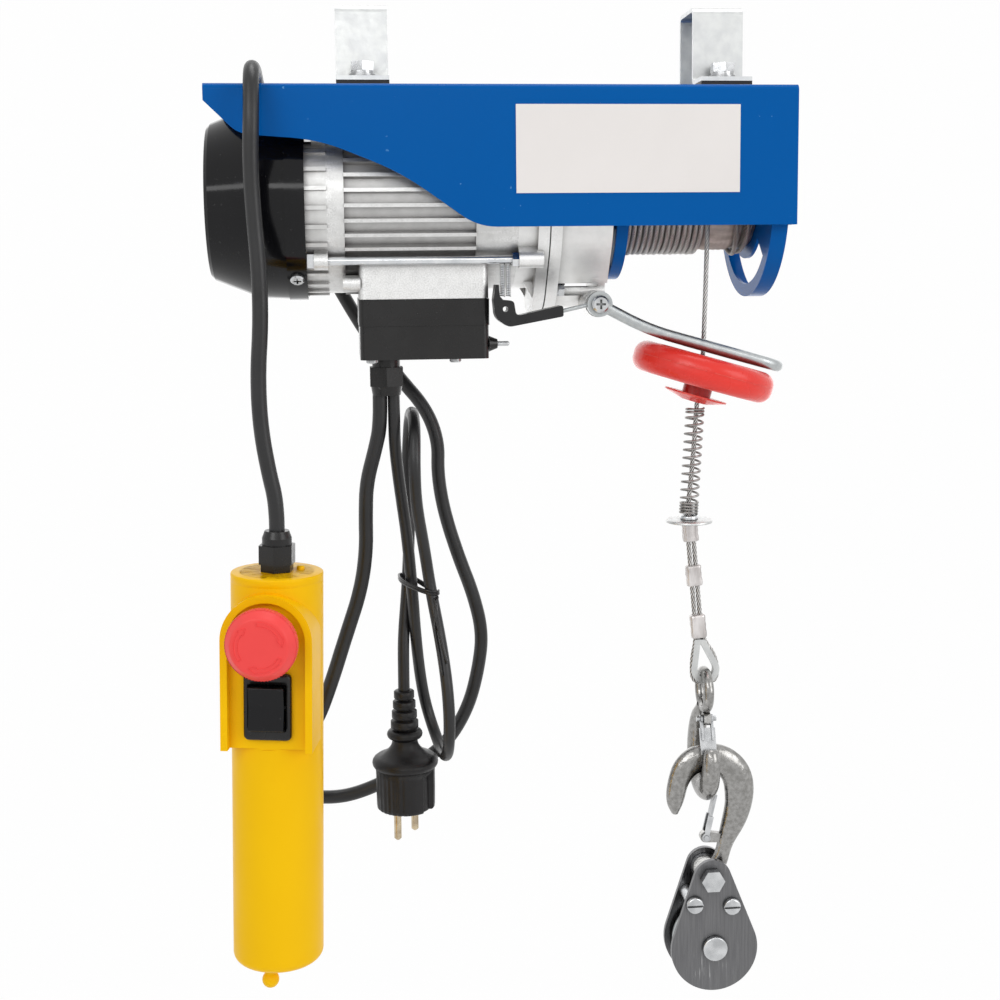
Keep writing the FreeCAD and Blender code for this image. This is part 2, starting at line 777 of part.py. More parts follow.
def make_tie_bolts():
    """Four long bolts outside the motor, each with a hex nut at its drive end."""
    parts = []
    start = shield_end - tie_nut_height * 2
    end = plate_start
    for spot in tie_spots(start):
        head = hexagon(tie_nut_across, tie_nut_height, spot - ALONG * tie_nut_height, ALONG)
        length = end - start + tie_ear_depth - tie_end_gap
        parts.append(joined([head, rod(tie_radius, length, spot, ALONG)]))
        nut_start = spot + ALONG * (end - start - tie_nut_height)
        parts.append(hexagon(tie_nut_across, tie_nut_height, nut_start, ALONG).cut(
            rod(tie_radius + running_gap, tie_nut_height + 2 * OVERRUN, nut_start - ALONG * OVERRUN, ALONG)))
    save(group(parts), "tie_bolts")


tie_ear_depth = 10.0


def egg_face(top_radius, low_radius, x):
    """Outline of two circles, one about the drum axis and one about the lay shaft, with their tangents."""
    slope = math.asin((top_radius - low_radius) / lay_axis_offset)
    normal = V(0, math.cos(slope), -math.sin(slope))
    mirror = V(0, -math.cos(slope), -math.sin(slope))
    top = on_axis(x)
    low = V(x, 0, lay_axis_z)
    right_top = top + normal * top_radius
    right_low = low + normal * low_radius
    left_top = top + mirror * top_radius
    left_low = low + mirror * low_radius
    edges = [Part.Arc(left_top, top + UP * top_radius, right_top).toShape(),
             Part.LineSegment(right_top, right_low).toShape(),
             Part.Arc(right_low, low - UP * low_radius, left_low).toShape(),
             Part.LineSegment(left_low, left_top).toShape()]
    return Part.Face(Part.Wire(edges))


def case_bolt_spots(x):
    spots = []
    for angle in case_bolt_angles_top:
        turn = math.radians(angle)
        spots.append(V(x, case_bolt_circle_top * math.cos(turn), motor_axis_z + case_bolt_circle_top * math.sin(turn)))
    for angle in case_bolt_angles_low:
        turn = math.radians(angle)
        spots.append(V(x, case_bolt_circle_low * math.cos(turn), lay_axis_z + case_bolt_circle_low * math.sin(turn)))
    return spots


gusset_length = 10.0
gusset_height = 18.0
gusset_thickness = 4.0

# Limit lever pivot on the gearbox case
pivot_x = 29.6
pivot_z = -175.8
pivot_radius = 3.0
pivot_boss_radius = 8.0
lever_plane = -47.0
lever_ring_width = 6.0
lever_ring_outer = 7.6
lever_ring_gap = 0.8


def make_gearbox():
    flange = egg_face(case_top_radius, case_low_radius, flange_start).extrude(ALONG * plate_flange)
    rear = rod(smooth_radius, plate_rear_length, on_axis(plate_start), ALONG)
    parts = [flange, rear]
    for spot in tie_spots(plate_start):
        parts.append(ear(spot, plate_rear_length + plate_flange / 2))
    low = lay_axis_z - case_low_radius
    for side in (-1, 1):
        y = side * case_low_radius / 2
        corners = [V(flange_start, y - gusset_thickness / 2, low + gusset_height + gusset_length),
                   V(flange_start - gusset_length, y - gusset_thickness / 2, low + gusset_height + gusset_length),
                   V(flange_start, y - gusset_thickness / 2, low + gusset_length)]
        parts.append(prism(corners, BACK * gusset_thickness))
    plate = joined(parts)
    drive_bearing_start = plate_start + plate_rear_length - motor_bearing_width
    cuts = [rod(stator_radius - motor_wall, plate_rear_length - motor_bearing_width + OVERRUN, on_axis(plate_start - OVERRUN), ALONG),
            rod(motor_bearing_outer, motor_bearing_width + OVERRUN, on_axis(drive_bearing_start - OVERRUN), ALONG),
            rod(rotor_shaft_radius + bolt_gap, plate_flange + 2 * OVERRUN, on_axis(flange_start - OVERRUN), ALONG),
            rod(small_bearing_outer, small_bearing_width, V(flange_end - small_bearing_width, 0, lay_axis_z), ALONG)]
    cuts += [tie_hole(spot, tie_ear_depth) for spot in tie_spots(plate_start)]
    case_bolt_hole = case_bolt_radius + running_gap
    for spot in case_bolt_spots(flange_start - OVERRUN):
        cuts.append(rod(case_bolt_hole, plate_flange + 2 * OVERRUN, spot, ALONG))
    save(drilled(plate, cuts), "gearbox_plate")

    gasket = egg_face(case_top_radius, case_low_radius, flange_end).extrude(ALONG * gasket_thickness)
    cuts = [egg_face(cavity_top_radius, cavity_low_radius, flange_end - OVERRUN).extrude(ALONG * (gasket_thickness + 2 * OVERRUN))]
    for spot in case_bolt_spots(flange_end - OVERRUN):
        cuts.append(rod(case_bolt_hole, gasket_thickness + 2 * OVERRUN, spot, ALONG))
    save(drilled(gasket, cuts), "gearbox_gasket")

    shell_top = cavity_top_radius + case_wall
    shell_low = cavity_low_radius + case_wall
    flange = egg_face(case_top_radius, case_low_radius, case_start).extrude(ALONG * plate_flange)
    shell = egg_face(shell_top, shell_low, case_start).extrude(ALONG * case_length)
    boss = rod(output_boss_radius, output_boss_length + case_wall, on_axis(case_end - case_wall), ALONG)
    foot_half = foot_screw_row + foot_screw_across / 2
    foot = block(case_start, case_end - case_wall, -foot_half, foot_half, motor_axis_z + cavity_top_radius + case_rib_depth, inner_top)
    pivot_boss_end = lever_plane + lever_ring_width / 2 + lever_ring_gap
    pivot_start = -shell_low / 2
    pivot_boss = rod(pivot_boss_radius, pivot_start - pivot_boss_end, V(pivot_x, pivot_start, pivot_z), -BACK)
    case = joined([flange, shell, boss, foot, pivot_boss])
    inside = egg_face(cavity_top_radius, cavity_low_radius, case_start - OVERRUN).extrude(ALONG * (case_length - case_wall + OVERRUN))
    output_start = case_end - case_wall
    output_seat = rod(output_bearing_outer, case_wall + output_boss_length + 2 * OVERRUN, on_axis(output_start - OVERRUN), ALONG)
    lay_seat_depth = small_bearing_width / 2
    lay_boss_start = output_start - small_bearing_width
    lay_boss = rod(small_bearing_outer + case_wall / 2, small_bearing_width + OVERRUN, V(lay_boss_start, 0, lay_axis_z), ALONG)
    case = joined([case.cut(inside), lay_boss])
    cuts = [output_seat, rod(small_bearing_outer, small_bearing_width + lay_seat_depth + OVERRUN, V(lay_boss_start - OVERRUN, 0, lay_axis_z), ALONG)]
    for spot in case_bolt_spots(case_start - OVERRUN):
        cuts.append(rod(case_bolt_hole, plate_flange + 2 * OVERRUN, spot, ALONG))
        head_room = case_bolt_across / math.sqrt(3) + bolt_gap
        cuts.append(rod(head_room, case_length, spot + ALONG * (plate_flange + OVERRUN), ALONG))
    for x, y in foot_screw_places[:2]:
        cuts.append(rod(foot_screw_radius + running_gap, foot_screw_length, V(x, y, inner_top + OVERRUN), -UP))
    cuts.append(rod(pivot_radius + running_gap, pivot_bolt_depth, V(pivot_x, pivot_boss_end - OVERRUN, pivot_z), BACK))
    save(drilled(case, cuts), "gearbox_case")

    for spot in case_bolt_spots(case_start + plate_flange):
        seat = spot + ALONG * case_bolt_washer
        length = plate_flange * 2 + gasket_thickness + case_bolt_washer
        gearbox_bolts.append(bolt(case_bolt_radius, case_bolt_across, case_bolt_head, length, seat, -ALONG))
        gearbox_bolts.append(tube(case_bolt_across / 2, case_bolt_hole, case_bolt_washer, spot, ALONG))


pivot_bolt_depth = 14.0


def make_gears():
    wheel_shift = -pinion_shift
    wheel_start = pinion_start + (pinion_width - wheel_width) / 2
    half_tooth = math.pi / wheel_teeth
    wheel = gear(gear_module, wheel_teeth, wheel_shift, tooth_backlash, wheel_width, lay_shaft_radius,
                 V(wheel_start, 0, lay_axis_z), math.pi / 2 + half_tooth)
    save(wheel, "lay_gear")
    bearing_end = flange_end
    shaft_start = bearing_end - small_bearing_width + seat_gap
    lay_bearing_start = case_end - case_wall - small_bearing_width
    shaft_end = lay_bearing_start + small_bearing_width
    shaft_parts = [rod(lay_shaft_radius, second_start - shaft_start - OVERRUN, V(shaft_start, 0, lay_axis_z), ALONG),
                   rod(pinion_bore, second_width + 2 * OVERRUN, V(second_start - OVERRUN, 0, lay_axis_z), ALONG)]
    after = second_start + second_width
    shaft_parts.append(rod(lay_end_radius, shaft_end - after, V(after, 0, lay_axis_z), ALONG))
    pinion_turn = math.pi / 2
    pinion = gear(gear_module, pinion_teeth, pinion_shift, tooth_backlash, second_width, pinion_bore,
                  V(second_start, 0, lay_axis_z), pinion_turn)
    save(joined(shaft_parts + [pinion]), "lay_shaft")
    output_start = second_start + (second_width - wheel_width) / 2
    output = gear(gear_module, wheel_teeth, wheel_shift, tooth_backlash, wheel_width, drum_shaft_radius,
                  on_axis(output_start), -math.pi / 2 + half_tooth)
    save(output, "output_gear")
    bearings.append(bearing(small_bearing_outer - running_gap, lay_shaft_radius + running_gap, small_bearing_width,
                            V(bearing_end - small_bearing_width, 0, lay_axis_z), ALONG))
    bearings.append(bearing(small_bearing_outer - running_gap, lay_end_radius + running_gap, small_bearing_width,
                            V(lay_bearing_start, 0, lay_axis_z), ALONG))
    bearings.append(bearing(output_bearing_outer - running_gap, drum_shaft_radius + running_gap, output_bearing_width,
                            on_axis(boss_end - output_bearing_width), ALONG))


lay_end_radius = 4.0

# Drum
drum_barrel_radius = 24.0
drum_left = 45.7
flange_sheet = 2.0
left_flange_radius = 49.3
right_flange_radius = 61.0
left_rim_width = 5.0
right_rim_width = 7.8
rope_width = 84.0
window_count = 3
window_inner = 37.0
window_outer = 53.0
window_spread = 96.0
window_turn_share = 0.25
winding_radius = 32.5
winding_core_gap = 0.3
rope_turns = 14
rope_turn_rise = 3.45

drum_right = drum_left + 2 * flange_sheet + rope_width
rope_left = drum_left + flange_sheet
rope_right = rope_left + rope_width


def sector(radius, spread, x, length, turn):
    """Wedge about the drum axis, spread degrees wide."""
    half = math.radians(spread / 2)
    reach = radius / math.cos(half)
    corners = [on_axis(x), on_axis(x) + V(0, reach * math.cos(half), reach * math.sin(half)),
               on_axis(x) + V(0, reach * math.cos(half), -reach * math.sin(half))]
    wedge = prism(corners, ALONG * length)
    wedge.rotate(axis_at, ALONG, turn)
    return wedge


def make_drum():
    barrel = tube(drum_barrel_radius, drum_shaft_radius, drum_right - drum_left, on_axis(drum_left), ALONG)
    inner = tube(drum_barrel_radius - case_wall, drum_shaft_radius + case_wall, rope_width, on_axis(rope_left), ALONG)
    left_web = tube(left_flange_radius, drum_shaft_radius, flange_sheet, on_axis(drum_left), ALONG)
    left_rim = tube(left_flange_radius, left_flange_radius - flange_sheet, left_rim_width + flange_sheet,
                    on_axis(drum_left - left_rim_width), ALONG)
    right_web = tube(right_flange_radius, drum_shaft_radius, flange_sheet, on_axis(rope_right), ALONG)
    right_rim = tube(right_flange_radius, right_flange_radius - flange_sheet, right_rim_width + flange_sheet,
                     on_axis(rope_right), ALONG)
    drum = joined([barrel.cut(inner), left_web, left_rim, right_web, right_rim])
    for number in range(window_count):
        ring = tube(window_outer, window_inner, flange_sheet + 2 * OVERRUN, on_axis(rope_right - OVERRUN), ALONG)
        window = ring.common(sector(window_outer, window_spread, rope_right - OVERRUN, flange_sheet + 2 * OVERRUN,
                                    360 / window_count * (number + window_turn_share)))
        drum = drum.cut(window)
    save(drum, "drum")
    shaft_start = second_start
    shaft_end = end_wall_x - seat_gap
    shaft = rod(drum_shaft_radius, shaft_end - shaft_start, on_axis(shaft_start), ALONG)
    save(shaft, "drum_shaft")

    bearing_start = end_wall_x - holder_flange_thickness - end_bearing_width
    holder_bore = end_bearing_outer
    holder = joined([
        tube(holder_flange_radius, holder_bore, holder_flange_thickness, on_axis(end_wall_x - holder_flange_thickness), ALONG),
        tube(end_bearing_outer + holder_wall, holder_bore, end_bearing_width + holder_flange_thickness, on_axis(bearing_start), ALONG)])
    holes = [rod(holder_screw_radius + running_gap, holder_flange_thickness + 2 * OVERRUN, place, ALONG)
             for place in holder_places(end_wall_x - holder_flange_thickness - OVERRUN)]
    save(drilled(holder, holes), "end_bearing_holder")
    for place in holder_places(end_wall_x - holder_flange_thickness):
        housing_screws.append(pan_screw(holder_screw_radius, holder_screw_head_radius, holder_screw_head,
                                        holder_flange_thickness + housing_sheet, place, ALONG))
    bearings.append(bearing(end_bearing_outer - running_gap, drum_shaft_radius + running_gap, end_bearing_width,
                            on_axis(bearing_start), ALONG))

    core_radius = winding_radius - rope_diameter / 2 - winding_core_gap
    core = tube(core_radius, drum_barrel_radius, rope_width - 2 * seat_gap, on_axis(rope_left + seat_gap), ALONG)
    first_x = rope_left + seat_gap + rope_diameter / 2 + rope_turn_rise / 2
    steps = [rope_turn_rise / 4] * (4 * rope_turns)
    turns = coil("rope winding", rope_diameter, winding_radius, steps, on_axis(first_x), ALONG, -BACK,
                 rope_diameter, rope_diameter)
    save(group([core, turns]), "rope_winding")
    return first_x + rope_turns * rope_turn_rise


# Bent rods, forged hooks and other general shapes
def bent_edges(points, radii):
    """Edges of an open path through points, each inner corner rounded by its own radius."""
    edges = []
    at = points[0]
    for place in range(1, len(points) - 1):
        corner = points[place]
        before = (points[place - 1] - corner).normalize()
        after = (points[place + 1] - corner).normalize()
        half = math.acos(max(-1, min(1, before.dot(after)))) / 2
        reach = radii[place - 1] / math.tan(half)
        first = corner + before * reach
        last = corner + after * reach
        if at.distanceToPoint(first) > 1e-6:
            edges.append(Part.LineSegment(at, first).toShape())
        edges.append(vertex_arc(first, corner, last))
        at = last
    if at.distanceToPoint(points[-1]) > 1e-6:
        edges.append(Part.LineSegment(at, points[-1]).toShape())
    return edges


def bent_rod(points, radii, radius):
    heading = (points[1] - points[0]).normalize()
    profile = Part.Wire([Part.Circle(points[0], heading, radius).toShape()])
    return Part.Wire(bent_edges(points, radii)).makePipeShell([profile], True, False)


def turned_round(outline, start, axis):
    """Solid of revolution from (along, radius, corner radius) triples."""
    across = side_axis(axis)
    across = (across - axis * across.dot(axis)).normalize()
    corners = [start + axis * along + across * radius for along, radius, corner_radius in outline]
    wire = rounded_wire(corners, [corner_radius for along, radius, corner_radius in outline])
    return Part.Face(wire).revolve(start, axis, 360)


def forged(stations, across, side_half, smallest_share):
    """Bar of oval section through (centre, half depth) stations; across is its side direction."""
    deepest = max(half for centre, half in stations)
    section_count = 8
    wires = []
    for place, (centre, half) in enumerate(stations):
        before = stations[max(0, place - 1)][0]
        after = stations[min(len(stations) - 1, place + 1)][0]
        depth_way = (after - before).normalize().cross(across)
        side = side_half * max(smallest_share, math.sqrt(half / deepest))
        spots = []
        for step in range(section_count):
            turn = 2 * math.pi * step / section_count
            spots.append(centre + depth_way * (half * math.cos(turn)) + across * (side * math.sin(turn)))
        curve = Part.BSplineCurve()
        curve.interpolate(Points=spots, PeriodicFlag=True)
        wires.append(Part.Wire([curve.toShape()]))
    return Part.makeLoft(wires, True, False)


def hull_prism(first, first_radius, second, second_radius, direction):
    """Plate around two circles and their common tangents, in the plane across Y."""
    gap = second - first
    distance = gap.Length
    heading = gap.normalize()
    lean = math.asin((first_radius - second_radius) / distance)
    side = V(-heading.z, 0, heading.x)
    left = heading * math.sin(lean) + side * math.cos(lean)
    right = heading * math.sin(lean) - side * math.cos(lean)
    edges = [Part.Arc(first + left * first_radius, first - heading * first_radius, first + right * first_radius).toShape(),
             Part.LineSegment(first + right * first_radius, second + right * second_radius).toShape(),
             Part.Arc(second + right * second_radius, second + heading * second_radius, second + left * second_radius).toShape(),
             Part.LineSegment(second + left * second_radius, first + left * first_radius).toShape()]
    return Part.Face(Part.Wire(edges)).extrude(direction)


# Limit lever
bail_radius = 3.5
bail_closing_radius = 3.4
bail_bend = V(59.6, lever_plane, -191.6)
bail_slope = 16.1
bail_back_plane = -18.0
bail_end_x = 143.0
bail_loop_start = 30.0
bail_stub_bend = 150.0
lever_link_radius = 1.25
lever_link_start = V(23.5, lever_plane, -176.1)
lever_link_end = V(7.0, lever_plane, -179.7)
arm_reach = 62.6
arm_front = -50.0
arm_back = -38.0
arm_outline_shares = [(-1.0, 0.195), (-1.019, 0.051), (-1.003, -0.121), (-0.879, -0.206), (-0.351, -0.112),
                      (-0.356, -0.006), (-0.804, -0.102), (-0.826, 0.042), (-0.927, 0.051), (-0.960, 0.088),
                      (-0.968, 0.195)]
arm_radii_shares = [0.01, 0.05, 0.12, 0.1, 0.02, 0.02, 0.04, 0.04, 0.02, 0.02, 0.0]
arm_hole_radius = 1.6
arm_hole_shares = (-0.907, -0.035)
pivot_head_radius = 5.2
pivot_head_height = 3.2
pivot_bolt_reach = 18.0
limit_spring_wire = 0.6
limit_spring_radius = 1.4
limit_spring_pitch = 1.03
limit_spring_turns = 18
limit_spring_spread = 1.75
limit_spring_x = -26.9

pivot_at = V(pivot_x, lever_plane, pivot_z)


def make_limit_lever():
    ring_start = V(pivot_x, lever_plane - lever_ring_width / 2, pivot_z)
    ring_bore = pivot_radius + running_gap
    ring = tube(lever_ring_outer, ring_bore, lever_ring_width, ring_start, BACK)
    slope = math.radians(bail_slope)
    along = V(math.cos(slope), 0, -math.sin(slope))
    end_radius = (bail_back_plane - lever_plane) / 2
    reach = (bail_end_x - bail_bend.x) / math.cos(slope)
    stub_start = pivot_at + (bail_bend - pivot_at).normalize() * ((lever_ring_outer + ring_bore) / 2)
    across = BACK * (bail_back_plane - lever_plane)
    far_corner = bail_bend + along * reach
    loop_end = bail_bend + across + along * bail_loop_start
    loop = bent_rod([stub_start, bail_bend, far_corner, far_corner + across, loop_end],
                    [bail_stub_bend, end_radius, end_radius], bail_radius)
    close_corner = bail_bend + across + along * (bail_loop_start - end_radius)
    closing = bent_rod([loop_end, close_corner, close_corner - across], [end_radius], bail_closing_radius)
    link = rod(lever_link_radius, lever_link_start.distanceToPoint(lever_link_end), lever_link_start,
               (lever_link_end - lever_link_start).normalize())
    save(joined([ring, loop, closing, link]), "limit_bail")

    corners = [V(pivot_x + x * arm_reach, arm_front, pivot_z + z * arm_reach) for x, z in arm_outline_shares]
    radii = [share * arm_reach for share in arm_radii_shares]
    arm = rounded_prism(corners, radii, BACK * (arm_back - arm_front))
    hole_at = V(pivot_x + arm_hole_shares[0] * arm_reach, arm_front - OVERRUN, pivot_z + arm_hole_shares[1] * arm_reach)
    link_hole = rod(lever_link_radius + running_gap, arm_reach / 4, lever_link_end + (lever_link_start - lever_link_end).normalize(),
                    (lever_link_end - lever_link_start).normalize())
    save(drilled(arm, [rod(arm_hole_radius, arm_back - arm_front + 2 * OVERRUN, hole_at, BACK), link_hole]), "limit_arm")

    springs = []
    steps = [limit_spring_pitch / 4] * (4 * limit_spring_turns)
    rod_bottom = tie_spots(limit_spring_x)[0].z - tie_radius
    for side in (-1, 1):
        top = V(limit_spring_x + side * limit_spring_spread, lever_plane, rod_bottom - seat_gap - limit_spring_wire / 2)
        springs.append(coil("limit spring", limit_spring_wire, limit_spring_radius, steps, top, -UP, ALONG,
                            limit_spring_wire, limit_spring_wire))
    save(group(springs), "limit_springs")
    seat = V(pivot_x, lever_plane - lever_ring_width / 2 - seat_gap, pivot_z)
    gearbox_bolts.append(pan_screw(pivot_radius, pivot_head_radius, pivot_head_height, pivot_bolt_reach, seat, BACK))


# Control box under the motor
box_wall = 3.0
cover_wall = 2.5
cover_bottom = -207.5
cover_band_bottom = -187.4
cover_band_step = 0.5
box_corner = 4.0
box_boss_radius = 5.0
box_boss_length = 9.3
box_boss_y = -38.0
box_boss_z = -162.0
box_screw_inset = 7.0
box_screw_inset_right = 20.0
box_post_radius = 5.0
box_screw_radius = 2.0
box_screw_head = 2.0
box_screw_head_radius = 3.6
box_screw_length = 36.0
capacitor_radius = 14.5
capacitor_length = 50.0
capacitor_at = V(-100.0, 16.0, -190.2)
terminal_length = 30.0
terminal_depth = 16.0
terminal_height = 12.0
terminal_at = V(-83.0, -28.0, 0)
switch_length = 11.0
switch_depth = 20.0
switch_height = 24.0
tongue_y = -37.0
tongue_z = -199.0
tongue_radius = 1.5
tongue_hinge_depth = 3.0
tongue_reach = 11.3
boot_outer = 4.8
boot_tip = 2.8
boot_length = 5.0
boot_bore = 2.4
gland_x = -97.6
gland_y = -20.0
gland_neck_radius = 8.5
gland_neck = 5.5
gland_hex_across = 20.0
gland_hex = 11.6
gland_dome = 5.6
gland_dome_radius = 9.6
gland_dome_tip = 8.6
gland_nut_radius = 11.0
gland_nut_height = 3.0

box_right = box_left + box_length
cover_inside_bottom = cover_bottom + cover_wall


def box_block(inset, z0, z1):
    corner = box_corner - min(inset, box_corner / 2)
    x0 = box_left + inset
    x1 = box_right - inset
    y = box_half_depth - inset
    corners = [V(x0, -y, z0), V(x1, -y, z0), V(x1, y, z0), V(x0, y, z0)]
    return rounded_prism(corners, [corner] * 4, UP * (z1 - z0))


def box_screw_spots():
    x_places = (box_left + box_screw_inset, box_right - box_screw_inset_right)
    y_place = box_half_depth - box_screw_inset
    return [(x, y) for x in x_places for y in (-y_place, y_place)]


def make_control_box():
    saddle_radius = fin_tip_radius + box_saddle_gap
    saddle = rod(saddle_radius, box_length * 2, on_axis(box_left - box_length / 2), ALONG)
    inner_saddle = rod(saddle_radius + box_wall, box_length * 2, on_axis(box_left - box_length / 2), ALONG)
    upper = box_block(0, box_split, box_top).cut(saddle)
    hollow = box_block(box_wall, box_split - OVERRUN, box_top - box_wall).cut(inner_saddle)
    upper = upper.cut(hollow)
    posts = [rod(box_post_radius, box_top - box_wall - box_split, V(x, y, box_split), UP).cut(saddle) for x, y in box_screw_spots()]
    boss = rod(box_boss_radius, box_boss_length + OVERRUN, V(box_left + OVERRUN, box_boss_y, box_boss_z), -ALONG)
    upper = joined([upper, boss] + posts)
    screw_seat = cover_bottom - seat_gap
    holes = [rod(box_screw_radius + running_gap, box_screw_length + OVERRUN, V(x, y, screw_seat), UP) for x, y in box_screw_spots()]
    save(drilled(upper, holes), "box_body")

    lower = joined([box_block(0, cover_bottom, box_split), box_block(-cover_band_step, cover_band_bottom, box_split - seat_gap)])
    lower = lower.cut(box_block(-box_corner, box_split - seat_gap, box_split + OVERRUN))
    inside = box_block(cover_wall, cover_inside_bottom, box_split + OVERRUN)
    posts = [rod(box_post_radius, box_split - seat_gap - cover_bottom, V(x, y, cover_bottom), UP) for x, y in box_screw_spots()]
    boot_base = box_right - boot_length
    cuts = list(holes)
    cuts.append(rod(gland_neck_radius + running_gap, cover_wall + 2 * OVERRUN, V(gland_x, gland_y, cover_bottom - OVERRUN), UP))
    cuts.append(rod(boot_bore, boot_length + 2 * OVERRUN, V(boot_base - OVERRUN, tongue_y, tongue_z), ALONG))
    save(drilled(joined([lower.cut(inside)] + posts), cuts), "box_cover")
    for x, y in box_screw_spots():
        housing_screws.append(pan_screw(box_screw_radius, box_screw_head_radius, box_screw_head, box_screw_length - OVERRUN,
                                        V(x, y, screw_seat), UP))

    save(rod(capacitor_radius, capacitor_length, capacitor_at, ALONG), "capacitor")
    floor = cover_inside_bottom + seat_gap
    terminal = block(terminal_at.x, terminal_at.x + terminal_length, terminal_at.y, terminal_at.y + terminal_depth,
                     floor, floor + terminal_height)
    switch_right = box_right - cover_wall - seat_gap
    switch_front = tongue_y + boot_outer
    switch = block(switch_right - switch_length, switch_right, switch_front - boot_bore * 2, switch_front + switch_depth,
                   floor, floor + switch_height)
    room_x = box_right - cover_wall - seat_gap - tongue_hinge_depth
    room = block(room_x, switch_right + OVERRUN, switch_front - boot_bore * 2 - OVERRUN, tongue_y + boot_bore,
                 tongue_z - 2 * boot_bore, tongue_z + 2 * boot_bore)
    boot = turned([(0, boot_bore), (0, boot_outer), (boot_length, boot_tip), (boot_length, boot_bore)],
                  V(box_right + seat_gap, tongue_y, tongue_z), ALONG)
    save(group([terminal, switch.cut(room), boot]), "limit_switch")
    tongue_start = box_right - cover_wall
    tongue = joined([rod(tongue_radius, tongue_reach + cover_wall, V(tongue_start, tongue_y, tongue_z), ALONG),
                     Part.makeSphere(tongue_radius, V(box_right + tongue_reach, tongue_y, tongue_z))])
    save(tongue, "switch_tongue")

    bottom = cover_bottom
    gland = joined([
        turned([(0, 0), (0, gland_nut_radius), (gland_nut_height, gland_nut_radius), (gland_nut_height, gland_neck_radius),
                (gland_nut_height + cover_wall + seat_gap + gland_neck, gland_neck_radius),
                (gland_nut_height + cover_wall + seat_gap + gland_neck, 0)],
               V(gland_x, gland_y, floor + gland_nut_height), -UP),
        hexagon(gland_hex_across, gland_hex, V(gland_x, gland_y, bottom - gland_neck), -UP),
        turned([(0, 0), (0, gland_dome_radius), (gland_dome, gland_dome_tip), (gland_dome, 0)],
               V(gland_x, gland_y, bottom - gland_neck - gland_hex), -UP)])
    save(gland, "cable_gland")


# Rope below the drum, stop disc and its spring
rope_plane = -winding_radius
rope_line_end = V(97.0, rope_plane, -205.5)
rope_joint_gap = 0.3
rope_mid = V(93.3, rope_plane, -234.0)
loop_line_top = V(88.7, rope_plane, -310.5)
loop_line_bottom = V(95.5, rope_plane, -387.0)
strand_half_spread = 2.1
rope_bend = 15.0
thimble_at = V(99.2, rope_plane, -407.0)
thimble_rope_radius = 8.0
rope_tail_top = -313.3
disc_radius = 44.0
disc_thickness = 19.0
disc_rim_round = 8.0
disc_face_at = V(99.3, rope_plane, -209.3)
disc_lean = 16.1
disc_bore = 5.2
disc_neck = 9.0
disc_neck_length = 5.8
disc_flare = 19.5
disc_flare_rise = 0.4
disc_flare_edge = 1.0
disc_hub_bottom = 8.0
disc_hub_length = 9.8
stop_spring_wire = 1.4
stop_spring_outer = 6.05
stop_spring_close = 1.9
stop_spring_open = 4.95
stop_spring_end = V(88.2, rope_plane, -307.2)
sleeve_radius = 5.5
sleeve_bore = 3.6
sleeve_top = -308.2
sleeve_length = 2.3
end_washer_radius = 14.35
end_washer_thickness = 1.5
end_washer_top = -310.8
ferrule_width = 10.0
ferrule_depth = 6.5
ferrule_levels = [(-312.9, -324.6), (-339.9, -353.0), (-371.7, -386.6)]
thimble_inner = 5.2
thimble_base = 6.4
thimble_flange = 9.0
thimble_width = 4.6
thimble_flange_sheet = 0.7
thimble_top = -387.5

strand_way = (loop_line_bottom - loop_line_top).normalize()
strand_side = V(-strand_way.z, 0, strand_way.x)


def on_loop_line(z):
    return loop_line_top + strand_way * ((z - loop_line_top.z) / strand_way.z)


def tangent_way(point, side):
    """Direction from point towards the thimble that just touches the rope's circle on one side."""
    gap = thimble_at - point
    half = math.asin(thimble_rope_radius / gap.Length)
    heading = gap.normalize()
    across = V(-heading.z, 0, heading.x)
    return heading * math.cos(half) + across * (side * math.sin(half))


def meeting(point, way, level):
    return point + way * ((level - point.z) / way.z)


def crossing(first, first_way, second, second_way):
    gap = second - first
    turn = first_way.x * second_way.z - first_way.z * second_way.x
    return first + first_way * ((gap.x * second_way.z - gap.z * second_way.x) / turn)


left_top = loop_line_bottom - strand_side * strand_half_spread
right_top = loop_line_bottom + strand_side * strand_half_spread
left_way = tangent_way(left_top, -1)
right_way = tangent_way(right_top, 1)


def teardrop(radius, front, depth):
    """Prism shaped like the space inside the rope loop, radius about the thimble's middle."""
    shift = thimble_rope_radius - radius
    left_in = V(-left_way.z, 0, left_way.x) * shift
    right_in = V(right_way.z, 0, -right_way.x) * shift
    apex = crossing(left_top + left_in, left_way, right_top + right_in, right_way)
    level = thimble_at.z - radius
    corners = [apex, meeting(left_top + left_in, left_way, level), meeting(right_top + right_in, right_way, level)]
    corners = [V(corner.x, front, corner.z) for corner in corners]
    return rounded_prism(corners, [0, radius, radius], BACK * depth)


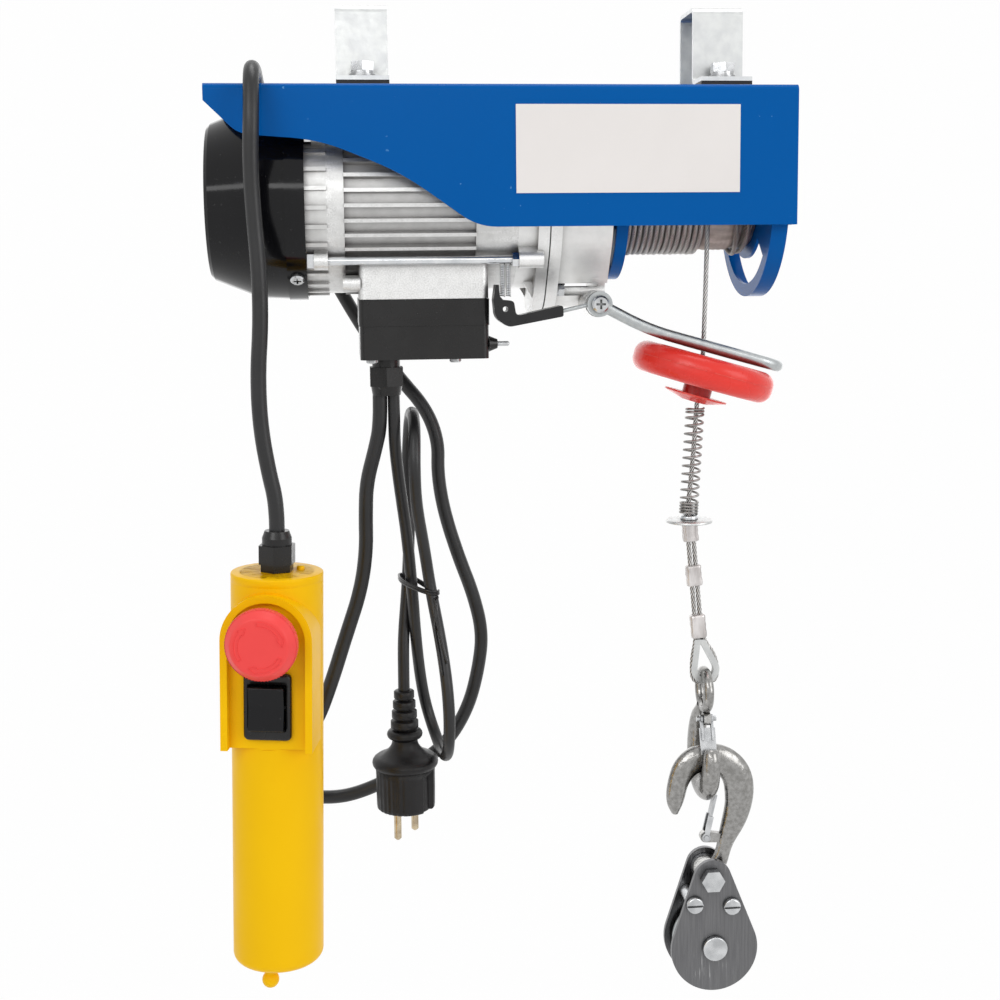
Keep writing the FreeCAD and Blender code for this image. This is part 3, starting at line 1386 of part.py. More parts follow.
def make_rope():
    line_start = V(rope_exit_x, rope_plane, motor_axis_z - rope_diameter - rope_joint_gap)
    line = rope_line_end - line_start
    save(rod(rope_diameter / 2, line.Length, line_start, line.normalize()), "rope_line")
    rope_start = rope_line_end - UP * rope_joint_gap
    left_line = loop_line_top - strand_side * strand_half_spread
    tail = on_loop_line(rope_tail_top) + strand_side * strand_half_spread
    level = thimble_at.z - thimble_rope_radius
    points = [rope_start, rope_mid, left_line, left_top, meeting(left_top, left_way, level),
              meeting(right_top, right_way, level), right_top, tail]
    radii = [rope_bend * 2, rope_bend, rope_bend / 2, thimble_rope_radius, thimble_rope_radius, rope_bend / 2]
    save(bent_rod(points, radii, rope_diameter / 2), "rope_end")

    lean = math.radians(disc_lean)
    down = V(-math.sin(lean), 0, -math.cos(lean))
    neck_end = disc_thickness + disc_neck_length
    flare_at = neck_end - disc_flare_rise
    hub_face = disc_thickness + disc_hub_length
    disc = turned_round([(0, disc_bore, 0), (0, disc_radius, disc_rim_round), (disc_thickness, disc_radius, disc_rim_round),
                         (disc_thickness, disc_neck, 0), (neck_end, disc_neck, 0), (flare_at, disc_flare, 0),
                         (flare_at + disc_flare_edge, disc_flare, 0), (hub_face, disc_hub_bottom, 0),
                         (hub_face, disc_bore, 0)], disc_face_at, down)
    save(disc, "stop_disc")

    hub_end = disc_face_at + down * hub_face
    lowest_hub = hub_end.z - disc_hub_bottom * math.sin(lean)
    spring_top = V(hub_end.x + rope_diameter / 4, rope_plane, lowest_hub - seat_gap - stop_spring_wire)
    axis = (stop_spring_end - spring_top).normalize()
    close_steps = [stop_spring_close / 4]
    open_turns = int((spring_top.distanceToPoint(stop_spring_end) - 6 * stop_spring_close) / stop_spring_open)
    open_rise = (spring_top.distanceToPoint(stop_spring_end) - 6 * stop_spring_close) / open_turns
    steps = close_steps * 8 + [open_rise / 4] * (4 * open_turns) + close_steps * 16
    spring = coil("stop spring", stop_spring_wire, stop_spring_outer - stop_spring_wire / 2, steps, spring_top, axis, ALONG,
                  stop_spring_wire, stop_spring_wire)
    save(spring, "stop_spring")

    pieces = [tube(sleeve_radius, sleeve_bore, sleeve_length, V(stop_spring_end.x, rope_plane, sleeve_top - sleeve_length), UP)]
    washer_x = loop_line_top.x - strand_half_spread / 2
    pieces.append(tube(end_washer_radius, sleeve_bore, end_washer_thickness,
                       V(washer_x, rope_plane, end_washer_top - end_washer_thickness), UP))
    bore = rope_diameter / 2 + running_gap
    flat_half = (ferrule_width - ferrule_depth) / 2
    for top, bottom in ferrule_levels:
        start = on_loop_line(top)
        length = start.distanceToPoint(on_loop_line(bottom))
        corners = []
        for across, depth in ((-1, -1), (1, -1), (1, 1), (-1, 1)):
            corners.append(start + strand_side * (across * flat_half) + BACK * (depth * ferrule_depth / 2))
        parts = [prism(corners, strand_way * length)]
        for side in (-1, 1):
            parts.append(rod(ferrule_depth / 2, length, start + strand_side * (side * flat_half), strand_way))
        cuts = [rod(bore, length + 2 * OVERRUN, start - strand_way * OVERRUN + strand_side * (side * strand_half_spread), strand_way)
                for side in (-1, 1)]
        pieces.append(drilled(joined(parts), cuts))
    save(group(pieces), "rope_ferrules")

    front = rope_plane - thimble_width / 2
    parts = [teardrop(thimble_base, front, thimble_width), teardrop(thimble_flange, front, thimble_flange_sheet),
             teardrop(thimble_flange, front + thimble_width - thimble_flange_sheet, thimble_flange_sheet)]
    above = block(thimble_at.x - disc_radius, thimble_at.x + disc_radius, front - OVERRUN, front + thimble_width + OVERRUN,
                  thimble_top, thimble_top + disc_radius)
    save(joined(parts).cut(teardrop(thimble_inner, front - OVERRUN, thimble_width + 2 * OVERRUN)).cut(above), "thimble")


# Rope hook, in the plane across X
eye_at = V(99.2, rope_plane, -420.5)
eye_radius = 11.8
eye_bar = 3.2
bowl_at = V(99.2, rope_plane, -464.9)
bowl_radius = 18.5
rope_hook_side = 6.4
rope_hook_tip_share = 0.3
rope_hook_shares = [(0.22, 1.83, 0.17), (0.54, 1.48, 0.25), (0.865, 0.97, 0.34), (1.0, 0.43, 0.40), (0.99, -0.11, 0.44),
                    (0.757, -0.654, 0.455), (0.35, -0.94, 0.46), (-0.054, -1.0, 0.46), (-0.486, -0.87, 0.44),
                    (-0.84, -0.52, 0.40), (-1.01, -0.03, 0.335), (-1.016, 0.373, 0.25), (-0.98, 0.59, 0.13)]
latch_pin_at = V(99.2, -37.5, -438.0)
latch_pin_radius = 1.6
latch_pin_length = 12.4
latch_lug_radius = 4.2
latch_lug_half = 2.2
latch_half_width = 5.0
latch_sheet = 1.5
latch_ear_share = 0.6
latch_end = V(99.2, -45.4, -459.0)


def make_rope_hook():
    ring = Part.makeTorus(eye_radius, eye_bar, eye_at, ALONG)
    stations = []
    for y, z, half in rope_hook_shares:
        stations.append((bowl_at + V(0, y * bowl_radius, z * bowl_radius), half * bowl_radius))
    hook = forged(stations, ALONG, rope_hook_side, rope_hook_tip_share)
    lug = rod(latch_lug_radius, 2 * latch_lug_half, latch_pin_at - ALONG * latch_lug_half, ALONG)
    bore = rod(latch_pin_radius + running_gap, 2 * latch_lug_half + 2 * OVERRUN,
               latch_pin_at - ALONG * (latch_lug_half + OVERRUN), ALONG)
    save(joined([ring, hook, lug]).cut(bore), "rope_hook")

    down = (latch_end - latch_pin_at).normalize()
    outward = V(0, down.z, -down.y)
    length = latch_pin_at.distanceToPoint(latch_end)
    ear_end = latch_lug_radius + latch_sheet
    parts = [rod(latch_pin_radius, latch_pin_length, latch_pin_at - ALONG * (latch_pin_length / 2), ALONG)]
    for side in (-1, 1):
        start_x = side * (latch_lug_half + seat_gap)
        ear_start = latch_pin_at + ALONG * (start_x if side > 0 else start_x - latch_sheet)
        parts.append(rod(latch_lug_radius - latch_sheet, latch_sheet, ear_start, ALONG))
        corners = [ear_start + outward * latch_sheet, ear_start - outward * latch_sheet,
                   ear_start - outward * latch_sheet + down * (length * latch_ear_share), ear_start + outward * latch_sheet + down * (length * latch_ear_share)]
        parts.append(prism(corners, ALONG * latch_sheet))
    strap_start = latch_pin_at + down * ear_end - ALONG * latch_half_width
    corners = [strap_start - outward * (latch_sheet / 2), strap_start + outward * (latch_sheet / 2),
               strap_start + outward * (latch_sheet / 2) + down * (length - ear_end),
               strap_start - outward * (latch_sheet / 2) + down * (length - ear_end)]
    parts.append(prism(corners, ALONG * (2 * latch_half_width)))
    save(joined(parts), "rope_hook_latch")


# Block hook, in the plane across Y
block_hook_side = 6.5
block_hook_tip_share = 0.35
block_hook_at = V(101.0, rope_plane, -484.0)
block_hook_radius = 20.0
block_hook_shares = [(-1.025, -0.85, 0.1), (-1.035, -0.70, 0.18), (-1.01, -0.30, 0.30), (-0.91, 0.2, 0.34),
                     (-0.65, 0.675, 0.41), (-0.33, 0.885, 0.45), (0.0, 0.935, 0.465), (0.35, 0.88, 0.475), (0.675, 0.70, 0.475),
                     (0.95, 0.35, 0.475), (1.06, -0.15, 0.47), (1.025, -0.7, 0.43), (0.815, -1.4, 0.35),
                     (0.63, -1.9, 0.26), (0.5, -2.35, 0.25), (0.28, -2.65, 0.24)]
shackle_at = V(101.7, rope_plane, -541.0)
hook_eye_radius = 8.5
hook_eye_half = 5.0
shackle_radius = 4.0
block_latch_pivot = V(100.3, rope_plane, -517.4)
block_latch_end = V(106.6, rope_plane, -489.3)
block_latch_radius = 1.6
block_latch_ear_share = 0.5
block_latch_half_width = 3.4
block_lug_radius = 3.6
block_lug_half = 2.0
block_lug_root = V(113.5, rope_plane, -519.0)
block_latch_pin_length = 9.0


def make_block_hook():
    stations = []
    for x, z, half in block_hook_shares:
        stations.append((block_hook_at + V(x * block_hook_radius, 0, z * block_hook_radius), half * block_hook_radius))
    hook = forged(stations, BACK, block_hook_side, block_hook_tip_share)
    eye = rod(hook_eye_radius, 2 * hook_eye_half, shackle_at - BACK * hook_eye_half, BACK)
    lug_front = BACK * -block_lug_half
    lug = hull_prism(block_latch_pivot + lug_front, block_lug_radius, block_lug_root + lug_front, block_lug_radius - OVERRUN,
                     BACK * (2 * block_lug_half))
    cuts = [rod(shackle_radius + running_gap, 4 * hook_eye_half, shackle_at - BACK * (2 * hook_eye_half), BACK),
            rod(block_latch_radius + running_gap, 4 * block_lug_half, block_latch_pivot - BACK * (2 * block_lug_half), BACK)]
    save(drilled(joined([hook, eye, lug]), cuts), "block_hook")

    up = (block_latch_end - block_latch_pivot).normalize()
    inward = V(up.z, 0, -up.x)
    length = block_latch_pivot.distanceToPoint(block_latch_end)
    parts = [rod(block_latch_radius, block_latch_pin_length, block_latch_pivot - BACK * (block_latch_pin_length / 2), BACK)]
    for side in (-1, 1):
        start_y = side * (block_lug_half + seat_gap)
        ear_start = block_latch_pivot + BACK * (start_y if side > 0 else start_y - latch_sheet)
        parts.append(rod(block_lug_radius - block_lug_radius / 4, latch_sheet, ear_start, BACK))
        corners = [ear_start + inward * block_latch_radius, ear_start - inward * block_latch_radius,
                   ear_start - inward * block_latch_radius + up * (length * block_latch_ear_share), ear_start + inward * block_latch_radius + up * (length * block_latch_ear_share)]
        parts.append(prism(corners, BACK * latch_sheet))
    strap_start = block_latch_pivot + up * (block_lug_radius + latch_sheet) - BACK * block_latch_half_width
    strap_length = length - block_lug_radius - latch_sheet
    corners = [strap_start - inward * (latch_sheet / 2), strap_start + inward * (latch_sheet / 2),
               strap_start + inward * (latch_sheet / 2) + up * strap_length, strap_start - inward * (latch_sheet / 2) + up * strap_length]
    parts.append(prism(corners, BACK * (2 * block_latch_half_width)))
    save(joined(parts), "block_hook_latch")


# Pulley block
cheek_low_radius = 28.0
cheek_top_shift = 0.8
cheek_top_at = shackle_at + ALONG * cheek_top_shift
cheek_top_radius = 12.0
cheek_sheet = 3.0
cheek_inner_half = 9.0
sheave_at = V(104.0, rope_plane, -587.2)
cheek_low_drop = 0.8
cheek_low_at = sheave_at - UP * cheek_low_drop
sheave_radius = 24.0
sheave_half_width = 5.0
sheave_groove = 4.5
sheave_rim = 1.2
axle_radius = 5.0
axle_head_radius = 8.0
axle_head = 3.0
shackle_across = 13.0
shackle_head = 5.3
shackle_nut = 6.5
cheek_screw_spots = [V(90.8, rope_plane, -557.6), V(114.9, rope_plane, -559.7)]
cheek_screw_radius = 2.5
cheek_screw_head_radius = 5.5
cheek_screw_head = 3.0
spacer_radius = 4.5
slot_depth_share = 0.4
cheek_slot_width = 1.4


def cheek_axis_tube(outer, inner, spot, y0, y1):
    return tube(outer, inner, y1 - y0, V(spot.x, rope_plane + y0, spot.z), BACK)


def slotted_screw(radius, head_radius, head_height, length, seat, slot_width):
    """Round-head screw with one slot, pointing away from the front."""
    head = turned_round([(0, 0, 0), (0, head_radius, 0), (-head_height, head_radius, head_height / 2), (-head_height, 0, 0)],
                        seat, BACK)
    slot = block(seat.x - head_radius - OVERRUN, seat.x + head_radius + OVERRUN, seat.y - head_height - OVERRUN,
                 seat.y - head_height * (1 - slot_depth_share), seat.z - slot_width / 2, seat.z + slot_width / 2)
    return joined([head.cut(slot), rod(radius, length, seat, BACK)])


def make_block():
    outer_half = cheek_inner_half + cheek_sheet
    cheeks = []
    for start in (-outer_half, cheek_inner_half):
        shift = BACK * start
        cheek = hull_prism(cheek_low_at + shift, cheek_low_radius, cheek_top_at + shift, cheek_top_radius, BACK * cheek_sheet)
        cuts = [rod(shackle_radius + running_gap, 3 * cheek_sheet, shackle_at + shift - BACK * cheek_sheet, BACK),
                rod(axle_radius + running_gap, 3 * cheek_sheet, sheave_at + shift - BACK * cheek_sheet, BACK)]
        for spot in cheek_screw_spots:
            cuts.append(rod(cheek_screw_radius + running_gap, 3 * cheek_sheet, spot + shift - BACK * cheek_sheet, BACK))
        cheeks.append(drilled(cheek, cuts))
    save(group(cheeks), "block_plates")

    groove_low = sheave_radius - sheave_groove
    half = sheave_half_width
    sheave = turned([(0, axle_radius + running_gap), (0, sheave_radius), (sheave_rim, sheave_radius), (half - sheave_rim, groove_low),
                     (half + sheave_rim, groove_low), (2 * half - sheave_rim, sheave_radius), (2 * half, sheave_radius),
                     (2 * half, axle_radius + running_gap)], sheave_at - BACK * half, BACK)
    lighten = 5
    for number in range(lighten):
        hole = rod(sheave_groove / 2, 4 * half, sheave_at - BACK * (2 * half) + ALONG * ((axle_head_radius + groove_low) / 2), BACK)
        hole.rotate(sheave_at, BACK, 360 / lighten * number)
        sheave = sheave.cut(hole)
    save(sheave, "sheave")

    front = rope_plane - outer_half - seat_gap
    grip = 2 * (outer_half + seat_gap)
    pieces = [bolt(shackle_radius, shackle_across, shackle_head, grip + shackle_nut + OVERRUN, V(shackle_at.x, front, shackle_at.z), BACK)]
    nut_start = V(shackle_at.x, front + grip, shackle_at.z)
    pieces.append(hexagon(shackle_across, shackle_nut, nut_start, BACK).cut(
        rod(shackle_radius + running_gap, shackle_nut + 2 * OVERRUN, nut_start - BACK * OVERRUN, BACK)))
    side_room = cheek_inner_half - seat_gap
    for y0, y1 in ((-side_room, -hook_eye_half - seat_gap), (hook_eye_half + seat_gap, side_room)):
        pieces.append(cheek_axis_tube(hook_eye_radius, shackle_radius + running_gap, shackle_at, y0, y1))
    for y0, y1 in ((-side_room, -sheave_half_width - seat_gap), (sheave_half_width + seat_gap, side_room)):
        pieces.append(cheek_axis_tube(axle_head_radius, axle_radius + running_gap, sheave_at, y0, y1))
    axle = joined([rod(axle_radius, grip, V(sheave_at.x, front, sheave_at.z), BACK),
                   turned_round([(0, 0, 0), (0, axle_head_radius, 0), (-axle_head, axle_head_radius, axle_head / 3), (-axle_head, 0, 0)],
                                V(sheave_at.x, front, sheave_at.z), BACK),
                   rod(axle_head_radius, axle_head, V(sheave_at.x, front + grip, sheave_at.z), BACK)])
    pieces.append(axle)
    for spot in cheek_screw_spots:
        pieces.append(slotted_screw(cheek_screw_radius, cheek_screw_head_radius, cheek_screw_head, grip + cheek_screw_head,
                                    V(spot.x, front, spot.z), cheek_slot_width))
        pieces.append(cheek_axis_tube(spacer_radius, cheek_screw_radius + running_gap, spot, -side_room, side_room))
        pieces.append(cheek_axis_tube(spacer_radius, cheek_screw_radius + running_gap, spot, outer_half + seat_gap,
                                      outer_half + seat_gap + cheek_screw_head))
    save(group(pieces), "block_bolts")


# Pendant, made upright about its own axis and then turned and leaned
pendant_at = V(-164.0, -80.0, -325.0)
pendant_turn = -9.0
pendant_lean = 1.4
pendant_radius = 26.4
pendant_length = 232.0
pendant_wall = 3.0
pendant_round = 5.0
hood_half = 26.0
hood_top_drop = 7.6
hood_bottom_drop = 96.9
hood_front = 32.0
hood_rim = 4.0
panel_front = 26.0
panel_back = 22.5
stop_centre_drop = 32.2
stop_radius = 20.0
stop_face = 50.0
stop_cap_depth = 11.0
stop_depth_shares = [0.0, 0.45, 0.85, 1.0]
stop_radius_shares = [0.8, 1.0, 1.0, 0.7]
stop_cap_roundings = [2.0, 2.0, 1.0, 0.0]
stop_travel = 4.0
stop_stem_radius = 8.0
stop_neck_radius = 5.0
stop_stem_inside = 8.0
stop_collar_radius = 10.0
stop_collar = 2.5
rocker_centre_drop = 72.0
bezel_half_width = 13.6
bezel_half_height = 19.25
bezel_proud = 3.5
bezel_body_half_width = 11.7
bezel_body_half_height = 14.5
bezel_body_depth = 17.0
rocker_half_width = 10.0
rocker_half_height = 12.6
rocker_room = 0.9
rocker_proud = 8.0
rocker_dip = 2.2
rocker_depth = 3.0
rocker_pin_radius = 1.5
rocker_pin_reach = 1.2
rocker_pivot_inset = 1.0
pendant_gland_hex_low = 4.2
pendant_gland_low_across = 17.0
pendant_gland_hex = 11.0
pendant_gland_across = 19.0
pendant_gland_dome = 8.1
pendant_gland_dome_radius = 8.5
pendant_gland_tip_radius = 7.0
pendant_gland_neck = 7.0
lug_ball_radius = 5.0
lug_ball_shift = -3.2
lug_ball_front = 8.0
lug_ball_sink = 11.2
lug_neck_radius = 3.3

pendant_place = FreeCAD.Placement(
    pendant_at, FreeCAD.Rotation(BACK, pendant_lean).multiply(FreeCAD.Rotation(UP, pendant_turn)))


def placed(shape):
    moved = shape.copy()
    moved.Placement = pendant_place.multiply(moved.Placement)
    return moved


def tell(name, spot, way):
    spot_now = pendant_place.multVec(spot)
    way_now = pendant_place.Rotation.multVec(way)
    print(name, [round(value, 3) for value in spot_now], [round(value, 5) for value in way_now])


def arch(inset, front, depth, bottom):
    """Prism with a half-round top, open at its foot, as wide as the hood less the inset on each side."""
    half = hood_half - inset
    centre_z = -hood_top_drop - hood_half
    edges = [Part.Arc(V(-half, front, centre_z), V(0, front, centre_z + half), V(half, front, centre_z)).toShape(),
             Part.LineSegment(V(half, front, centre_z), V(half, front, bottom)).toShape(),
             Part.LineSegment(V(half, front, bottom), V(-half, front, bottom)).toShape(),
             Part.LineSegment(V(-half, front, bottom), V(-half, front, centre_z)).toShape()]
    return Part.Face(Part.Wire(edges)).extrude(BACK * depth)


def make_pendant():
    body = turned_round([(0, 0, 0), (0, pendant_radius, pendant_round), (pendant_length, pendant_radius, pendant_round),
                         (pendant_length, 0, 0)], ORIGIN, -UP)
    hood = arch(0, -hood_front, hood_front, -hood_bottom_drop)
    lug_at = V(lug_ball_shift, -lug_ball_front, -pendant_length)
    neck = rod(lug_neck_radius, lug_ball_sink + pendant_wall / 2, lug_at - UP * lug_ball_sink, UP)
    ball = Part.makeSphere(lug_ball_radius, lug_at - UP * lug_ball_sink)
    recess = arch(hood_rim, -hood_front - OVERRUN, hood_front - panel_front + OVERRUN, -hood_bottom_drop - OVERRUN)
    inside = rod(pendant_radius - pendant_wall, pendant_length - 2 * pendant_wall, V(0, 0, -pendant_wall), -UP)
    panel_room = block(-pendant_radius, pendant_radius, -hood_front, -panel_back, -hood_bottom_drop, -hood_top_drop)
    inside = inside.cut(panel_room)
    body = joined([body, hood, neck, ball]).cut(recess).cut(inside)
    cuts = [rod(stop_stem_radius + running_gap, hood_front, V(0, -hood_front, -stop_centre_drop), BACK),
            rod(stop_collar_radius + running_gap, stop_travel + 2 * stop_collar, V(0, -panel_back, -stop_centre_drop), BACK),
            block(-bezel_body_half_width - running_gap, bezel_body_half_width + running_gap, -hood_front,
                  -panel_front + bezel_body_depth + running_gap,
                  -rocker_centre_drop - bezel_body_half_height - running_gap,
                  -rocker_centre_drop + bezel_body_half_height + running_gap),
            rod(pendant_gland_neck + running_gap, pendant_wall + 2 * OVERRUN, V(0, 0, OVERRUN), -UP)]
    save(placed(drilled(body, cuts)), "pendant_body")

    gland = joined([rod(pendant_gland_neck, pendant_wall + seat_gap, V(0, 0, seat_gap), -UP),
                    hexagon(pendant_gland_low_across, pendant_gland_hex_low, V(0, 0, seat_gap), UP),
                    hexagon(pendant_gland_across, pendant_gland_hex, V(0, 0, pendant_gland_hex_low + seat_gap), UP),
                    turned([(0, 0), (0, pendant_gland_dome_radius), (pendant_gland_dome / 2, pendant_gland_dome_radius),
                            (pendant_gland_dome, pendant_gland_tip_radius), (pendant_gland_dome, 0)],
                           V(0, 0, pendant_gland_hex_low + pendant_gland_hex + seat_gap), UP)])
    save(placed(gland), "pendant_gland")

    stem_front = stop_face - stop_cap_depth + seat_gap
    stem_at = V(0, -stem_front, -stop_centre_drop)
    neck_reach = stop_cap_depth / 2
    collar_start = -panel_back + seat_gap
    stem = joined([rod(stop_stem_radius, stem_front - panel_back + stop_stem_inside, stem_at + BACK * seat_gap, BACK),
                   rod(stop_neck_radius, neck_reach + OVERRUN, stem_at - BACK * neck_reach, BACK),
                   rod(stop_collar_radius, stop_collar, V(0, collar_start, -stop_centre_drop), BACK)])
    save(placed(stem), "stop_button_stem")
    outline = [(0, 0, 0)]
    for depth_share, radius_share, rounding in zip(stop_depth_shares, stop_radius_shares, stop_cap_roundings):
        outline.append((stop_cap_depth * depth_share, stop_radius * radius_share, rounding))
    outline.append((stop_cap_depth, 0, 0))
    cap = turned_round(outline, V(0, -stop_face, -stop_centre_drop), BACK)
    neck_room = rod(stop_neck_radius + running_gap, neck_reach + 2 * seat_gap + OVERRUN,
                    stem_at - BACK * (neck_reach + seat_gap), BACK)
    save(placed(cap.cut(neck_room)), "stop_button")
    tell("stop button axis, pressed along", V(0, -stop_face, -stop_centre_drop), BACK)

    centre = -rocker_centre_drop
    flange = block(-bezel_half_width, bezel_half_width, -panel_front - bezel_proud, -panel_front - seat_gap,
                   centre - bezel_half_height, centre + bezel_half_height)
    bezel_body = block(-bezel_body_half_width, bezel_body_half_width, -panel_front - seat_gap - OVERRUN,
                       -panel_front + bezel_body_depth, centre - bezel_body_half_height, centre + bezel_body_half_height)
    opening = block(-rocker_half_width - running_gap * 2, rocker_half_width + running_gap * 2, -panel_front - bezel_proud - OVERRUN,
                    -panel_front + bezel_body_depth / 2, centre - rocker_half_height - rocker_room,
                    centre + rocker_half_height + rocker_room)
    pivot_y = -panel_front - rocker_pivot_inset
    pin_half = rocker_half_width + rocker_pin_reach
    pin_room = rod(rocker_pin_radius + running_gap, 2 * (pin_half + running_gap),
                   V(-pin_half - running_gap, pivot_y, centre), ALONG)
    save(placed(drilled(joined([flange, bezel_body]), [opening, pin_room])), "rocker_bezel")

    outline = [(-panel_front - rocker_proud, -rocker_half_height), (-panel_front - rocker_proud + rocker_dip, 0),
               (-panel_front - rocker_proud, rocker_half_height), (pivot_y + rocker_depth, rocker_half_height),
               (pivot_y + rocker_depth, -rocker_half_height)]
    corners = [V(-rocker_half_width, y, centre + z) for y, z in outline]
    rocker = joined([rounded_prism(corners, [OVERRUN, rocker_half_height, OVERRUN, 0, 0], ALONG * (2 * rocker_half_width)),
                     rod(rocker_pin_radius, 2 * pin_half, V(-pin_half, pivot_y, centre), ALONG)])
    save(placed(rocker), "rocker")
    tell("rocker axis", V(0, pivot_y, centre), ALONG)
    tell("pendant top", ORIGIN, UP)
    tell("pendant bottom", V(0, 0, -pendant_length), -UP)


# Cords and plug
pendant_cable_diameter = 9.0
mains_lead_diameter = 7.5
mains_route = [
    (-93.4, -20, -230.2), (-93.4, -20, -249), (-93, -15, -265), (-90, -6, -292), (-86, 2, -322),
    (-83, 6, -359), (-81, 14, -393), (-77.5, 26, -426), (-73.5, 30.5, -446.5), (-67.5, 17, -464),
    (-64.5, -8, -466), (-63.5, -28, -455), (-63, -36, -434), (-64, -33, -411), (-67, -23, -385), (-72, -10, -356),
    (-76, -14, -327), (-81, -26, -298), (-82, -33, -275), (-81, -25, -252), (-81, -4, -243),
    (-82, 15, -245), (-83, 30, -263), (-84, 30, -285), (-83, 27, -304), (-84, 22, -332),
    (-86, 20, -362), (-89, 14, -390), (-89.5, 10, -408), (-89.5, 10, -425.6)]
pendant_route = [
    (-101.8, -20, -230.2), (-101.8, -20, -248), (-105, -17, -263), (-111, -13, -285), (-112, -10, -306),
    (-112, -8, -329), (-116, -6, -355), (-126, -10, -383), (-136, -16, -412), (-146, -18, -437),
    (-163, -8, -459), (-171, 10, -477), (-170, 30, -494), (-158, 46, -507), (-138, 52, -512),
    (-120, 54, -510), (-97, 55, -501), (-77, 55, -491), (-58, 54, -476), (-44, 53, -452),
    (-37, 52, -425), (-34, 51, -400), (-40, 50, -373), (-50, 50, -346), (-59, 50, -316), (-63, 50, -290),
    (-62, 51, -268), (-70, 53, -246), (-87, 57, -226), (-104, 62, -203), (-119, 68, -178),
    (-131, 74, -156), (-143, 80, -130), (-156, 83, -100), (-166, 83, -68), (-168.5, 77, -44),
    (-170, 50, -34), (-171, 17, -36), (-171, -15, -36), (-170.5, -48, -34), (-170.5, -75, -40),
    (-170.5, -84, -66), (-172, -82, -96), (-171, -80, -125), (-169, -80, -154), (-169, -80.5, -183),
    (-171.5, -80, -212), (-171, -80, -241), (-167.2, -80, -267), (-163.05, -80, -286),
    (-163.42, -80, -301.4)]
plug_at = V(-89.5, 10.0, -425.6)
plug_relief_top = 5.4
plug_relief_radius = 8.0
plug_relief_length = 25.4
plug_ring_radius = 11.5
plug_ring_end = 32.4
plug_neck_radius = 10.0
plug_neck_end = 43.8
plug_shoulder_radius = 17.0
plug_flange_radius = 21.5
plug_flange_end = 57.4
plug_skirt_radius = 19.2
plug_length = 78.6
plug_notch_half = 5.0
plug_notch_depth = 3.0
plug_notch_length = 16.0
pin_radius = 2.4
pin_length = 19.0
pin_root = 8.0
pin_spacing = 19.0
pin_turn = -51.6


def make_cords():
    save(cord_tube("pendant cable", pendant_route, pendant_cable_diameter), "pendant_cable")
    save(cord_tube("mains lead", mains_route, mains_lead_diameter), "mains_lead")
    body = turned([(0, 0), (0, plug_relief_top), (plug_relief_length, plug_relief_radius), (plug_relief_length, plug_ring_radius),
                   (plug_ring_end, plug_ring_radius), (plug_ring_end, plug_neck_radius), (plug_neck_end, plug_shoulder_radius),
                   (plug_neck_end, plug_flange_radius), (plug_flange_end, plug_flange_radius),
                   (plug_flange_end, plug_skirt_radius), (plug_length, plug_skirt_radius), (plug_length, 0)], plug_at, -UP)
    turn = math.radians(pin_turn)
    across = V(math.cos(turn), -math.sin(turn), 0)
    away = V(-across.y, across.x, 0)
    end = plug_at - UP * plug_length
    cuts = []
    for side in (-1, 1):
        start = end + away * (side * (plug_skirt_radius - plug_notch_depth)) - UP * OVERRUN
        corners = [start - across * plug_notch_half, start + across * plug_notch_half,
                   start + across * plug_notch_half + away * (side * plug_skirt_radius),
                   start - across * plug_notch_half + away * (side * plug_skirt_radius)]
        cuts.append(prism(corners, UP * (plug_notch_length + OVERRUN)))
    pins = []
    for side in (-1, 1):
        start = end + across * (side * pin_spacing / 2) + UP * pin_root
        cuts.append(rod(pin_radius + running_gap, pin_root + OVERRUN, start, -UP))
        nose = pin_radius / 2
        pins.append(turned([(0, 0), (0, pin_radius), (pin_root + pin_length - nose, pin_radius), (pin_root + pin_length, nose),
                            (pin_root + pin_length, 0)], start - UP * seat_gap, -UP))
    save(drilled(body, cuts), "plug_body")
    save(group(pins), "plug_pins")


make_clamps()
make_housing()
make_fan_cover()
make_end_shield()
make_motor_body()
make_rotor()
make_tie_bolts()
make_gearbox()
make_gears()
rope_exit_x = make_drum()
print("rope leaves the drum at", round(rope_exit_x, 2))
make_limit_lever()
make_control_box()
make_rope()
make_rope_hook()
make_block_hook()
make_block()
make_pendant()
make_cords()
save(group(housing_screws), "housing_screws")
save(group(bearings), "bearings")
save(group(gearbox_bolts), "gearbox_bolts")
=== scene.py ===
"""Studio scene of an electric rope hoist with its pendant, hooks and pulley block."""
import json
import math

import bmesh
import bpy
from mathutils import Matrix, Vector


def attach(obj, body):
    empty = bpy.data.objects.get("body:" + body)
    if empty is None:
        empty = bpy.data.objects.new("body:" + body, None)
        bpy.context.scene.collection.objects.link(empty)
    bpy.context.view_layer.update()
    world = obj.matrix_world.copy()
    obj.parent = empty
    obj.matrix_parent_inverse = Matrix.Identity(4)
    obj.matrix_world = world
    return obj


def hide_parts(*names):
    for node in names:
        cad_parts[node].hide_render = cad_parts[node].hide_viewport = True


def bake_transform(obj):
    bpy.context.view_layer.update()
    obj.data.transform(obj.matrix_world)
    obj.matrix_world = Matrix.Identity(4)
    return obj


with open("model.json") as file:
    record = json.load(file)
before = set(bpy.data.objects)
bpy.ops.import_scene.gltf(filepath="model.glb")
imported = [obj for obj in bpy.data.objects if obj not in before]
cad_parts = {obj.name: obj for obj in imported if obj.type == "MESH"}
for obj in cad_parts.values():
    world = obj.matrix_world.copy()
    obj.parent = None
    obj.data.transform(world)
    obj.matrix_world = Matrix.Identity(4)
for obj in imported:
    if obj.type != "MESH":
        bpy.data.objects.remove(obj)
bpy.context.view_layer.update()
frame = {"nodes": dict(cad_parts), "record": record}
nodes = frame["nodes"]

